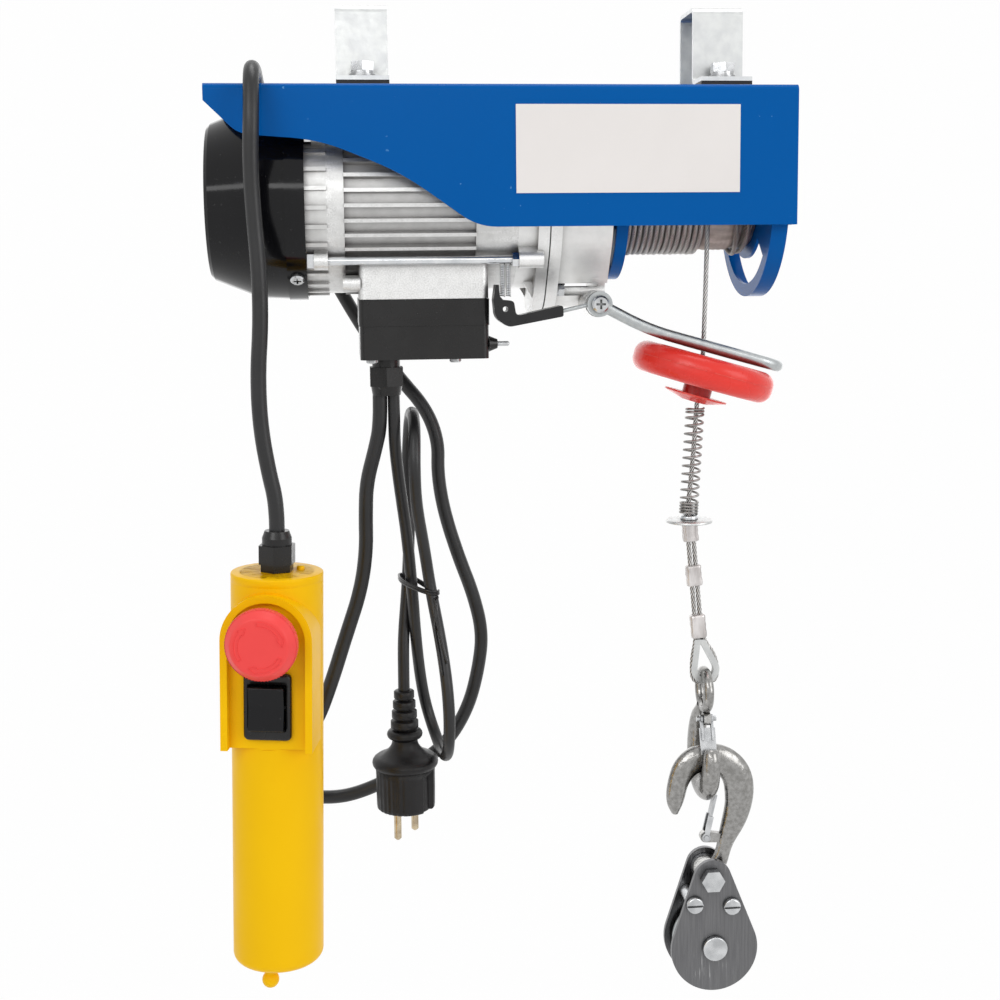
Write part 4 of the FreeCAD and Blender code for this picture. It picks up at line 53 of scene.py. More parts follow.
# Camera, matched to the photograph
camera_place = Vector((-0.1207, -0.9005, -0.151))
camera_yaw = math.radians(6.0)
camera_pitch = math.radians(7.0)
camera_roll = math.radians(-0.6)
camera_lens = 51.8
camera_shift_down = 0.06


def make_camera():
    level = Vector((math.sin(camera_yaw), math.cos(camera_yaw), 0))
    right = Vector((math.cos(camera_yaw), -math.sin(camera_yaw), 0))
    forward = level * math.cos(camera_pitch) - Vector((0, 0, math.sin(camera_pitch)))
    up = right.cross(forward)
    rolled_right = right * math.cos(camera_roll) + up * math.sin(camera_roll)
    rolled_up = up * math.cos(camera_roll) - right * math.sin(camera_roll)
    data = bpy.data.cameras.new("camera")
    data.lens = camera_lens
    data.shift_y = -camera_shift_down
    data.clip_end = 20
    camera = bpy.data.objects.new("camera", data)
    turn = Matrix((rolled_right, rolled_up, -forward)).transposed().to_4x4()
    camera.matrix_world = Matrix.Translation(camera_place) @ turn
    bpy.context.scene.collection.objects.link(camera)
    bpy.context.scene.camera = camera


make_camera()


# Small helpers for meshes
def place_mesh(name, mesh, smooth=True):
    for polygon in mesh.polygons:
        polygon.use_smooth = smooth
    piece = bpy.data.objects.new(name, mesh)
    bpy.context.scene.collection.objects.link(piece)
    return piece


def add_mesh(name, verts, faces):
    mesh = bpy.data.meshes.new(name)
    mesh.from_pydata([tuple(v) for v in verts], [], faces)
    mesh.update()
    return place_mesh(name, mesh)


def from_bmesh(name, bm, smooth=True):
    bmesh.ops.recalc_face_normals(bm, faces=bm.faces)
    mesh = bpy.data.meshes.new(name)
    bm.to_mesh(mesh)
    bm.free()
    return place_mesh(name, mesh, smooth)


def bridge(bm, rings):
    """Faces between closed rings of bmesh vertices that follow one another."""
    for low, high in zip(rings, rings[1:]):
        for step in range(len(low)):
            following = (step + 1) % len(low)
            bm.faces.new((low[step], low[following], high[following], high[step]))


def skin_faces(rings, around):
    """Faces between closed rings of this many points, numbered ring after ring."""
    faces = []
    for ring in range(rings - 1):
        for step in range(around):
            first = ring * around + step
            second = ring * around + (step + 1) % around
            faces.append((first, second, second + around, first + around))
    return faces


def cap_faces(rings, around):
    """One face over the first ring and one over the last."""
    last = (rings - 1) * around
    return [tuple(reversed(range(around))), tuple(range(last, last + around))]


def sides_along(points):
    """Two side directions at each point, without needless twist."""
    count = len(points)
    tangents = []
    for place in range(count):
        ahead = points[min(place + 1, count - 1)] - points[max(place - 1, 0)]
        tangents.append(ahead.normalized())
    side = tangents[0].orthogonal().normalized()
    sides = []
    for tangent in tangents:
        side = (side - tangent * side.dot(tangent)).normalized()
        sides.append((side, tangent.cross(side)))
    return sides


def tube_mesh(name, points, radius_at, around, capped=True):
    """Tube along points; radius_at(distance, angle) gives the skin's distance from the line."""
    sides = sides_along(points)
    verts = []
    distance = 0.0
    for place, point in enumerate(points):
        if place:
            distance += (point - points[place - 1]).length
        side, other = sides[place]
        for step in range(around):
            angle = 2 * math.pi * step / around
            reach = radius_at(distance, angle)
            spot = point + side * (math.cos(angle) * reach)
            verts.append(spot + other * (math.sin(angle) * reach))
    faces = skin_faces(len(points), around)
    if capped:
        faces += cap_faces(len(points), around)
    return add_mesh(name, verts, faces)


def revolve_mesh(name, outline, start, axis, around=64):
    """Turned piece from (distance along the axis, radius) pairs."""
    axis = Vector(axis).normalized()
    side = axis.orthogonal().normalized()
    other = axis.cross(side)
    start = Vector(start)
    verts = []
    for along, radius in outline:
        for step in range(around):
            angle = 2 * math.pi * step / around
            spot = start + axis * along + side * (radius * math.cos(angle))
            verts.append(spot + other * (radius * math.sin(angle)))
    return add_mesh(name, verts, skin_faces(len(outline), around))


def rounded_rectangle(left, right, low, high, radius, parts):
    """Outline points with this many parts to each corner, counterclockwise from the right side."""
    corners = ((right - radius, high - radius, 0), (left + radius, high - radius, 90),
               (left + radius, low + radius, 180), (right - radius, low + radius, 270))
    points = []
    for across, up, first in corners:
        for step in range(parts + 1):
            angle = math.radians(first + 90 * step / parts)
            points.append((across + radius * math.cos(angle), up + radius * math.sin(angle)))
    return points


# Cords: the routes are the same points as the solid cords have
pendant_cable_diameter = 0.009
mains_lead_diameter = 0.0075
mains_route = [
    (-0.0934, -0.02, -0.2302), (-0.0934, -0.02, -0.249), (-0.093, -0.015, -0.265), (-0.09, -0.006, -0.292),
    (-0.086, 0.002, -0.322), (-0.083, 0.006, -0.359), (-0.081, 0.014, -0.393), (-0.0775, 0.026, -0.426),
    (-0.0735, 0.0305, -0.4465), (-0.0675, 0.017, -0.464), (-0.0645, -0.008, -0.466),
    (-0.0635, -0.028, -0.455), (-0.063, -0.036, -0.434), (-0.064, -0.033, -0.411), (-0.067, -0.023, -0.385),
    (-0.072, -0.01, -0.356), (-0.076, -0.014, -0.327), (-0.081, -0.026, -0.298), (-0.082, -0.033, -0.275),
    (-0.081, -0.025, -0.252), (-0.081, -0.004, -0.243), (-0.082, 0.015, -0.245), (-0.083, 0.03, -0.263),
    (-0.084, 0.03, -0.285), (-0.083, 0.027, -0.304), (-0.084, 0.022, -0.332), (-0.086, 0.02, -0.362),
    (-0.089, 0.014, -0.39), (-0.0895, 0.01, -0.408), (-0.0895, 0.01, -0.4256)
]
pendant_route = [
    (-0.1018, -0.02, -0.2302), (-0.1018, -0.02, -0.248), (-0.105, -0.017, -0.263), (-0.111, -0.013, -0.285),
    (-0.112, -0.01, -0.306), (-0.112, -0.008, -0.329), (-0.116, -0.006, -0.355), (-0.126, -0.01, -0.383),
    (-0.136, -0.016, -0.412), (-0.146, -0.018, -0.437), (-0.163, -0.008, -0.459), (-0.171, 0.01, -0.477),
    (-0.17, 0.03, -0.494), (-0.158, 0.046, -0.507), (-0.138, 0.052, -0.512), (-0.12, 0.054, -0.51),
    (-0.097, 0.055, -0.501), (-0.077, 0.055, -0.491), (-0.058, 0.054, -0.476), (-0.044, 0.053, -0.452),
    (-0.037, 0.052, -0.425), (-0.034, 0.051, -0.4), (-0.04, 0.05, -0.373), (-0.05, 0.05, -0.346),
    (-0.059, 0.05, -0.316), (-0.063, 0.05, -0.29), (-0.062, 0.051, -0.268), (-0.07, 0.053, -0.246),
    (-0.087, 0.057, -0.226), (-0.104, 0.062, -0.203), (-0.119, 0.068, -0.178), (-0.131, 0.074, -0.156),
    (-0.143, 0.08, -0.13), (-0.156, 0.083, -0.1), (-0.166, 0.083, -0.068), (-0.1685, 0.075, -0.045),
    (-0.17, 0.05, -0.0395), (-0.171, 0.017, -0.0442), (-0.171, -0.015, -0.0442), (-0.1705, -0.048, -0.0395),
    (-0.1705, -0.075, -0.0415), (-0.1705, -0.084, -0.066), (-0.172, -0.082, -0.096), (-0.171, -0.08, -0.125),
    (-0.169, -0.08, -0.154), (-0.169, -0.0805, -0.183), (-0.1715, -0.08, -0.212), (-0.171, -0.08, -0.241),
    (-0.1672, -0.08, -0.267), (-0.1631, -0.08, -0.286), (-0.1634, -0.08, -0.3014)
]


def spline_object(name, points, radius):
    """Smooth cord on one open spline with these control points, its radius kept on the points."""
    curve = bpy.data.curves.new(name, "CURVE")
    curve.dimensions = "3D"
    spline = curve.splines.new("NURBS")
    spline.points.add(len(points) - 1)
    for place, point in enumerate(points):
        spline.points[place].co = (*point, 1)
        spline.points[place].radius = radius
    spline.order_u = 3
    spline.use_endpoint_u = True
    spline.resolution_u = 12
    curve.bevel_depth = 1 if radius else 0
    curve.bevel_resolution = 6
    curve.use_fill_caps = True
    piece = bpy.data.objects.new(name, curve)
    bpy.context.scene.collection.objects.link(piece)
    return piece


def line_of(points, resolution):
    """Points on the smooth spline that these control points give."""
    piece = spline_object("line_helper", points, 0)
    piece.data.splines[0].resolution_u = resolution
    mesh = bpy.data.meshes.new_from_object(piece)
    line = [vertex.co.copy() for vertex in mesh.vertices]
    bpy.data.objects.remove(piece)
    return line


# Moulded plug: blocks of strain relief, a bead, a flared neck and a skirt with two notches
plug_top = Vector(mains_route[-1])
plug_pin_turn = math.radians(-51.6)
plug_around = 144
relief_blocks = 4
relief_length = 0.0262
skirt_top = 0.0530
notch_half_angle = 0.27
notch_radius = 0.0162
rib_angles = (0.9, 1.56)
rib_width = 0.11
rib_depth = 0.0004


def plug_outline():
    """Pairs of distance below the plug's top and radius."""
    outline = [(0, 0.0038), (0, 0.0052)]
    for number in range(relief_blocks):
        first = relief_length * number / relief_blocks
        high = relief_length / relief_blocks
        radius = 0.0066 + 0.0008 * number
        for share, inset in ((0.04, 0.0006), (0.12, 0), (0.74, 0), (0.82, 0.0006), (0.86, 0.0026),
                             (0.98, 0.0026)):
            outline.append((first + high * share, radius - inset))
    for step in range(9):
        angle = math.pi * step / 8
        outline.append((0.0292 - 0.0031 * math.cos(angle), 0.0084 + 0.0032 * math.sin(angle)))
    outline += [(0.0334, 0.0082), (0.0352, 0.0085), (0.0372, 0.0093), (0.0392, 0.0108), (0.0410, 0.0128),
                (0.0424, 0.0150), (0.0434, 0.0172), (0.0441, 0.0190)]
    for step in range(1, 9):
        angle = math.pi * step / 8
        outline.append((0.0478 - 0.0037 * math.cos(angle), 0.0180 + 0.0035 * math.sin(angle)))
    return outline + [(0.0522, 0.0193), (0.0560, 0.0192), (0.0600, 0.0192), (0.0640, 0.0192),
                      (0.0700, 0.0191), (0.0760, 0.0190), (0.0778, 0.0188), (0.0786, 0.0180),
                      (0.0786, 0.0060), (0.0786, 0.0005)]


def make_plug():
    outline = plug_outline()
    notch_way = math.atan2(math.cos(plug_pin_turn), math.sin(plug_pin_turn))
    verts = []
    for along, radius in outline:
        for step in range(plug_around):
            angle = 2 * math.pi * step / plug_around
            reach = radius
            if along > skirt_top:
                off = abs((angle - notch_way + math.pi / 2) % math.pi - math.pi / 2)
                if off < notch_half_angle:
                    reach = min(radius, notch_radius)
                elif rib_angles[0] < off < rib_angles[1] and int(off / rib_width) % 2:
                    reach = radius - min(radius * 0.02, rib_depth)
            verts.append(plug_top + Vector((math.cos(angle) * reach, math.sin(angle) * reach, -along)))
    # The outline runs down, so the faces turn the other way round
    faces = [(a, d, c, b) for a, b, c, d in skin_faces(len(outline), plug_around)]
    faces += [tuple(reversed(face)) for face in cap_faces(len(outline), plug_around)]
    plug = add_mesh("plug_moulding", verts, faces)
    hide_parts("plug_body")
    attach(plug, "hoist")
    return plug


def make_cords():
    plug = make_plug()
    pendant_cord = spline_object("pendant_cord", pendant_route, pendant_cable_diameter / 2)
    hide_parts("pendant_cable")
    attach(pendant_cord, "hoist")
    mains_cord = spline_object("mains_cord", mains_route, mains_lead_diameter / 2)
    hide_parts("mains_lead")
    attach(mains_cord, "hoist")
    return {"cable": [pendant_cord, mains_cord], "rubber_black": [plug]}


cords = make_cords()


# Materials
def link(tree, source, target):
    tree.links.new(source, target)


def noise(tree, coordinates, scale, detail=3.0, stretch=None):
    source = coordinates
    if stretch:
        mapping = tree.nodes.new("ShaderNodeMapping")
        mapping.inputs["Scale"].default_value = stretch
        link(tree, coordinates, mapping.inputs["Vector"])
        source = mapping.outputs["Vector"]
    texture = tree.nodes.new("ShaderNodeTexNoise")
    texture.inputs["Scale"].default_value = scale
    texture.inputs["Detail"].default_value = detail
    link(tree, source, texture.inputs["Vector"])
    return texture.outputs["Fac"]


def ramp(tree, source, low, high, first, second):
    node = tree.nodes.new("ShaderNodeMapRange")
    node.inputs["From Min"].default_value = low
    node.inputs["From Max"].default_value = high
    node.inputs["To Min"].default_value = first
    node.inputs["To Max"].default_value = second
    link(tree, source, node.inputs["Value"])
    return node.outputs["Result"]


def mix_colour(tree, share, first, second):
    node = tree.nodes.new("ShaderNodeMix")
    node.data_type = "RGBA"
    for socket, value in ((node.inputs["A"], first), (node.inputs["B"], second)):
        if isinstance(value, tuple):
            socket.default_value = (*value, 1)
        else:
            link(tree, value, socket)
    link(tree, share, node.inputs["Factor"])
    return node.outputs["Result"]


def product(tree, first, second):
    node = tree.nodes.new("ShaderNodeMath")
    node.operation = "MULTIPLY"
    link(tree, first, node.inputs[0])
    link(tree, second, node.inputs[1])
    return node.outputs[0]


def hollows(tree, reach):
    """How open each spot is: 1 on open faces, less in corners and grooves."""
    node = tree.nodes.new("ShaderNodeAmbientOcclusion")
    node.samples = 6
    node.inputs["Distance"].default_value = reach
    return node.outputs["AO"]


def finish_material(name, base, second, spots=30.0, rough=(0.3, 0.45), metallic=0.0, specular=0.5,
                    grain=900.0, grain_depth=0.00002, stretch=None, edge_wear_and_highlight=None, edge_wear_and_highlight_share=0.6,
                    hollow_shade=None, hollow_shade_reach=0.006, hollow_shade_share=0.7, specks=None, speck_scale=300.0,
                    speck_range=(0.70, 0.74), speck_stretch=None, grooves=None):
    """Procedural finish: two colours in soft spots, uneven roughness and grain.

    Over these come specks in patches, worn edges with a painted highlight, painted shade in hollows and
    painted shade in the grooves between a rope's strands.
    """
    material = bpy.data.materials.new(name)
    material.use_nodes = True
    tree = material.node_tree
    shader = tree.nodes["Principled BSDF"]
    place = tree.nodes.new("ShaderNodeTexCoord").outputs["Object"]
    spots_share = ramp(tree, noise(tree, place, spots, stretch=stretch), 0.35, 0.65, 0, 1)
    colour = mix_colour(tree, spots_share, base, second)
    if specks:
        fine = ramp(tree, noise(tree, place, speck_scale, 2.0, speck_stretch), *speck_range, 0, 1)
        patch = ramp(tree, noise(tree, place, 14.0, 1.0), 0.42, 0.6, 0, 1)
        colour = mix_colour(tree, product(tree, fine, patch), colour, specks)
    # Lighter edges: real wear on the edges together with a painted highlight along them.
    if edge_wear_and_highlight:
        edges = tree.nodes.new("ShaderNodeNewGeometry").outputs["Pointiness"]
        worn = ramp(tree, edges, 0.53, 0.62, 0, edge_wear_and_highlight_share)
        broken = ramp(tree, noise(tree, place, spots * 8), 0.4, 0.6, 0, 1)
        colour = mix_colour(tree, product(tree, worn, broken), colour, edge_wear_and_highlight)
    # Painted shade: the colour darkens in hollows and corners, by how closed in each spot is.
    if hollow_shade:
        closed = ramp(tree, hollows(tree, hollow_shade_reach), 0.25, 0.9, hollow_shade_share, 0)
        colour = mix_colour(tree, closed, colour, hollow_shade)
    # Painted shade: the rope's colour darkens with the depth of the groove between its strands.
    if grooves:
        attribute = tree.nodes.new("ShaderNodeAttribute")
        attribute.attribute_name = "groove"
        colour = mix_colour(tree, attribute.outputs["Fac"], colour, grooves)
    link(tree, colour, shader.inputs["Base Color"])
    rough_noise = noise(tree, place, spots * 3, stretch=stretch)
    link(tree, ramp(tree, rough_noise, 0.3, 0.7, *rough), shader.inputs["Roughness"])
    shader.inputs["Metallic"].default_value = metallic
    shader.inputs["Specular IOR Level"].default_value = specular
    bump = tree.nodes.new("ShaderNodeBump")
    bump.inputs["Distance"].default_value = grain_depth
    link(tree, noise(tree, place, grain, 2.0, stretch), bump.inputs["Height"])
    link(tree, bump.outputs["Normal"], shader.inputs["Normal"])
    return material


# In these finishes the colours given for hollows are painted shade, the lighter edge colours are wear with a
# painted highlight, and the rope's groove colours are painted shade.
finishes = {
    "zinc": dict(
        base=(0.66, 0.67, 0.66), second=(0.58, 0.59, 0.59), spots=140, rough=(0.34, 0.46), metallic=0.9,
        grain=700, grain_depth=0.00003, hollow_shade=(0.30, 0.30, 0.29), hollow_shade_share=0.6),
    "zinc_dull": dict(
        base=(0.50, 0.52, 0.52), second=(0.42, 0.44, 0.45), spots=220, rough=(0.28, 0.42), metallic=1.0,
        grain=500, grain_depth=0.00005, hollow_shade=(0.12, 0.12, 0.12), specks=(0.8, 0.8, 0.8)),
    "zinc_dark": dict(
        base=(0.19, 0.19, 0.195), second=(0.155, 0.155, 0.16), spots=900, rough=(0.26, 0.4), metallic=1.0,
        grain=1600, stretch=(1.0, 1.0, 0.05), hollow_shade=(0.04, 0.04, 0.04), specks=(0.55, 0.55, 0.55),
        speck_scale=1100, speck_range=(0.63, 0.70), speck_stretch=(1.0, 1.0, 0.04)),
    "steel": dict(
        base=(0.66, 0.67, 0.68), second=(0.46, 0.47, 0.48), spots=120, rough=(0.2, 0.36), metallic=1.0,
        grain=1200, hollow_shade=(0.04, 0.04, 0.04), hollow_shade_reach=0.009, hollow_shade_share=0.95),
    "spring_steel": dict(
        base=(0.36, 0.35, 0.34), second=(0.27, 0.26, 0.25), spots=200, rough=(0.34, 0.46), metallic=0.8,
        hollow_shade=(0.05, 0.05, 0.05), hollow_shade_reach=0.002),
    "chrome": dict(
        base=(0.74, 0.75, 0.76), second=(0.60, 0.62, 0.64), spots=80, rough=(0.12, 0.24), metallic=1.0,
        grain=400, grain_depth=0.00001, hollow_shade=(0.1, 0.1, 0.1), hollow_shade_reach=0.004),
    "blue_paint": dict(
        base=(0.0002, 0.101, 0.38), second=(0.0002, 0.098, 0.37), spots=9, rough=(0.24, 0.27),
        specular=0.07, grain=230, specks=(0.10, 0.30, 0.58), speck_scale=260, speck_range=(0.75, 0.77)),
    "plate_label": dict(
        base=(0.84, 0.805, 0.785), second=(0.82, 0.785, 0.765), spots=20, rough=(0.3, 0.4), specular=0.3,
        grain=500),
    "black_gloss": dict(
        base=(0.003, 0.003, 0.004), second=(0.005, 0.005, 0.006), spots=25, rough=(0.07, 0.13),
        specular=0.25, grain=90, grain_depth=0.00004, specks=(0.04, 0.04, 0.04), speck_scale=500),
    "cast_alu": dict(
        base=(0.84, 0.84, 0.83), second=(0.79, 0.79, 0.78), spots=160, rough=(0.34, 0.46), metallic=0.85,
        grain=1500, grain_depth=0.00006, edge_wear_and_highlight=(0.95, 0.95, 0.95), hollow_shade=(0.15, 0.14, 0.13),
        hollow_shade_reach=0.008, hollow_shade_share=0.75),
    "cast_dull": dict(
        base=(0.70, 0.70, 0.69), second=(0.62, 0.62, 0.61), spots=160, rough=(0.34, 0.46), metallic=0.85,
        grain=1500, grain_depth=0.00006, edge_wear_and_highlight=(0.95, 0.95, 0.95), hollow_shade=(0.12, 0.11, 0.11),
        hollow_shade_reach=0.008, hollow_shade_share=0.8),
    "iron": dict(
        base=(0.20, 0.20, 0.21), second=(0.13, 0.13, 0.13), spots=60, rough=(0.4, 0.6), metallic=1.0),
    "copper": dict(
        base=(0.55, 0.22, 0.08), second=(0.35, 0.12, 0.05), spots=150, rough=(0.25, 0.4), metallic=0.8),
    "rubber_black": dict(
        base=(0.006, 0.0055, 0.006), second=(0.011, 0.010, 0.011), spots=60, rough=(0.36, 0.5),
        specular=0.34, grain=1500, grain_depth=0.00003),
    "rope": dict(
        base=(0.93, 0.91, 0.89), second=(0.76, 0.74, 0.72), spots=300, rough=(0.24, 0.4), metallic=0.85,
        grain=3000, grooves=(0.02, 0.018, 0.017)),
    "rope_old": dict(
        base=(0.66, 0.63, 0.60), second=(0.44, 0.41, 0.39), spots=200, rough=(0.35, 0.55), metallic=0.7,
        grain=2500, grooves=(0.02, 0.018, 0.016)),
    "tape": dict(
        base=(0.60, 0.55, 0.51), second=(0.30, 0.26, 0.23), spots=150, rough=(0.6, 0.8), specular=0.2,
        grain_depth=0.00020, stretch=(0.3, 1.0, 1.0), hollow_shade=(0.08, 0.06, 0.05)),
    "black_paint": dict(
        base=(0.010, 0.010, 0.011), second=(0.014, 0.014, 0.015), spots=80, rough=(0.26, 0.4),
        specular=0.36, grain_depth=0.00003),
    "black_plastic": dict(
        base=(0.0085, 0.008, 0.008), second=(0.0125, 0.012, 0.012), spots=40, rough=(0.22, 0.34),
        specular=0.36, grain=260, grain_depth=0.00005, specks=(0.06, 0.06, 0.06),
        speck_range=(0.72, 0.78)),
    "red_plastic": dict(
        base=(0.96, 0.085, 0.080), second=(0.92, 0.075, 0.072), rough=(0.3, 0.4), specular=0.22,
        grain=600),
    "red_disc": dict(
        base=(0.86, 0.046, 0.030), second=(0.82, 0.038, 0.027), spots=25, rough=(0.2, 0.34),
        specular=0.4, grain=300, grain_depth=0.00003, edge_wear_and_highlight=(0.95, 0.30, 0.22), edge_wear_and_highlight_share=0.4,
        hollow_shade=(0.30, 0.008, 0.008), hollow_shade_reach=0.005),
    "yellow_plastic": dict(
        base=(0.99, 0.575, 0.0005), second=(0.97, 0.55, 0.0005), spots=15, rough=(0.3, 0.4),
        specular=0.12, grain=2200, hollow_shade=(0.80, 0.34, 0.0), hollow_shade_reach=0.008, hollow_shade_share=0.6),
    "forged": dict(
        base=(0.36, 0.355, 0.345), second=(0.25, 0.245, 0.235), spots=420, rough=(0.16, 0.3),
        metallic=1.0, grain=210, grain_depth=0.00034, edge_wear_and_highlight=(0.85, 0.85, 0.83), hollow_shade=(0.05, 0.045, 0.04)),
    "ferrule": dict(
        base=(0.74, 0.71, 0.70), second=(0.50, 0.47, 0.46), spots=220, rough=(0.3, 0.46), metallic=0.85,
        grain=500, grain_depth=0.00012, stretch=(1.0, 1.0, 0.3), hollow_shade=(0.10, 0.09, 0.08),
        hollow_shade_reach=0.003),
    "cable": dict(
        base=(0.0085, 0.0085, 0.009), second=(0.014, 0.014, 0.015), spots=40, rough=(0.32, 0.44),
        specular=0.45),
    "brass_pins": dict(
        base=(0.62, 0.52, 0.36), second=(0.42, 0.34, 0.24), spots=200, rough=(0.15, 0.3), metallic=1.0),
    "grey_plastic": dict(
        base=(0.35, 0.36, 0.37), second=(0.3, 0.31, 0.32), spots=40, rough=(0.35, 0.5)),
    "gasket": dict(
        base=(0.03, 0.03, 0.03), second=(0.05, 0.05, 0.05), spots=60, rough=(0.6, 0.7)),
}
materials = {name: finish_material(name, **finish) for name, finish in finishes.items()}


def dress(piece, look):
    piece.data.materials.clear()
    piece.data.materials.append(materials[look])


def add_piece(piece, slot_name, body, *replaced, look=None):
    """Gives a new piece its finish, the body that it moves with and the nodes that it stands for."""
    dress(piece, look or slot_name)
    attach(piece, body)
    if replaced:
        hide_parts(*replaced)
    return piece


def add_blend(piece, slot_name, bodies, start, end, *replaced, look=None):
    """Gives a piece that goes over from one body to another between two points its finish and the nodes that
    it stands for, with its place baked into its mesh.
    """
    dress(piece, look or slot_name)
    if replaced:
        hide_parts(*replaced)
    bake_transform(piece)
    return piece


# Nodes that look duller or darker than the rest of their material slot
node_looks = {"block_plates": "zinc_dark", "limit_bail": "zinc_dull", "sheave": "zinc_dull",
              "motor_body": "cast_dull", "motor_end_shield": "cast_dull", "box_body": "cast_dull"}


def dress_frame():
    for entry in frame["record"]["subparts"]:
        piece = nodes[entry["node"]]
        for slot in piece.material_slots:
            slot.material = materials[node_looks.get(entry["node"], entry["material_slot"])]
    for slot_name, pieces in cords.items():
        for piece in pieces:
            dress(piece, slot_name)


dress_frame()


# Wire rope: six strands laid round each other
rope_radius = 0.0015
rope_lay = 0.017
strand_count = 6
strand_steps = 4
rope_ring_step = 0.0011
groove_shade_softness = 0.33


def strand_share(angle):
    """Distance of the strands' skin from the rope's middle, as a share of the rope's radius."""
    apart = (angle + math.pi / strand_count) % (2 * math.pi / strand_count) - math.pi / strand_count
    middle = 2 / 3
    inside = 1 / 9 - (middle * math.sin(apart)) ** 2
    return max(middle * math.cos(apart) + math.sqrt(max(inside, 0)), 0.70)


def evenly(points, step):
    """The same line with its points a constant step apart."""
    lengths = [0.0]
    for first, second in zip(points, points[1:]):
        lengths.append(lengths[-1] + (second - first).length)
    count = max(2, round(lengths[-1] / step))
    result = []
    place = 0
    for number in range(count + 1):
        target = lengths[-1] * number / count
        while place < len(points) - 2 and lengths[place + 1] < target:
            place += 1
        span = lengths[place + 1] - lengths[place]
        share = (target - lengths[place]) / span if span else 0
        result.append(points[place].lerp(points[place + 1], min(share, 1)))
    return result


def rope_mesh(name, points):
    """Rope whose mesh turns with its strands, so that few faces show them."""
    line = evenly(points, rope_ring_step)
    sides = sides_along(line)
    around = strand_count * strand_steps
    shares = [strand_share(2 * math.pi * step / around) for step in range(around)]
    lowest = min(shares)
    verts = []
    depths = []
    distance = 0.0
    for place, point in enumerate(line):
        if place:
            distance += (point - line[place - 1]).length
        turn = 2 * math.pi * distance / rope_lay
        side, other = sides[place]
        for step in range(around):
            angle = 2 * math.pi * step / around
            reach = rope_radius * shares[step]
            spot = point + side * (math.cos(angle + turn) * reach)
            verts.append(spot + other * (math.sin(angle + turn) * reach))
            # Depth in the groove at each point, which sets the painted shade between the strands.
            depths.append(((1 - shares[step]) / (1 - lowest)) ** groove_shade_softness)
    rope = add_mesh(name, verts, skin_faces(len(line), around) + cap_faces(len(line), around))
    groove = rope.data.attributes.new("groove", "FLOAT", "POINT")
    groove.data.foreach_set("value", depths)
    return rope


def wound(centre, axis, from_way, radius, rises, steps_per_turn):
    """Control points of a helix, one for each rise, held out so that the smooth line has this radius."""
    axis = Vector(axis).normalized()
    side = Vector(from_way)
    side = (side - axis * side.dot(axis)).normalized()
    other = axis.cross(side)
    reach = radius / ((1 + math.cos(2 * math.pi / steps_per_turn)) / 2) ** 0.5
    points = []
    for place, rise in enumerate(rises):
        angle = 2 * math.pi * place / steps_per_turn
        spot = Vector(centre) + axis * rise + side * (reach * math.cos(angle))
        points.append(spot + other * (reach * math.sin(angle)))
    return points


def even_rises(steps):
    rises = [0.0]
    for step in steps:
        rises.append(rises[-1] + step)
    return rises


# Drum winding: an upper and a lower layer, cloth tape between them and a crossing end
drum_level = -0.1125
along_drum = (1, 0, 0)
winding_steps = 24
winding_first = Vector((0.051225, 0, drum_level))
winding_radius = 0.0325
winding_pitch = 0.00345
winding_turns = 14
lower_first = Vector((0.0499, 0, drum_level))
lower_radius = 0.0291
lower_pitch = 0.0032
lower_turns = 25
crossing_first = Vector((0.1212, 0, drum_level))
crossing_pitch = 0.0040
crossing_turns = 2
tape_left = 0.1003
tape_length = 0.0195
tape_radius = 0.0313


def uneven(place, seed):
    """Smooth, repeatable unevenness between -1 and 1."""
    waves = math.sin(place * 0.71 + seed) + math.sin(place * 0.37 + 2.1 * seed)
    return (waves + math.sin(place * 0.113 + seed * seed)) / 3


def wobbled(points, seed, across, outward):
    """Hand-wound turns: each strays a little along the drum and lies a little higher on the turns below."""
    result = []
    for place, point in enumerate(points):
        away = Vector((0, point.y, point.z - winding_first.z)).normalized()
        lift = outward * (0.5 + 0.5 * uneven(place * 0.9, seed + 1.7))
        result.append(point + Vector((across * uneven(place, seed), 0, 0)) + away * lift)
    return result


def drum_turns(first, from_way, radius, pitch, turns):
    """Control points of even turns of rope on the drum."""
    rises = even_rises([pitch / winding_steps] * (turns * winding_steps))
    return wound(first, along_drum, from_way, radius, rises, winding_steps)


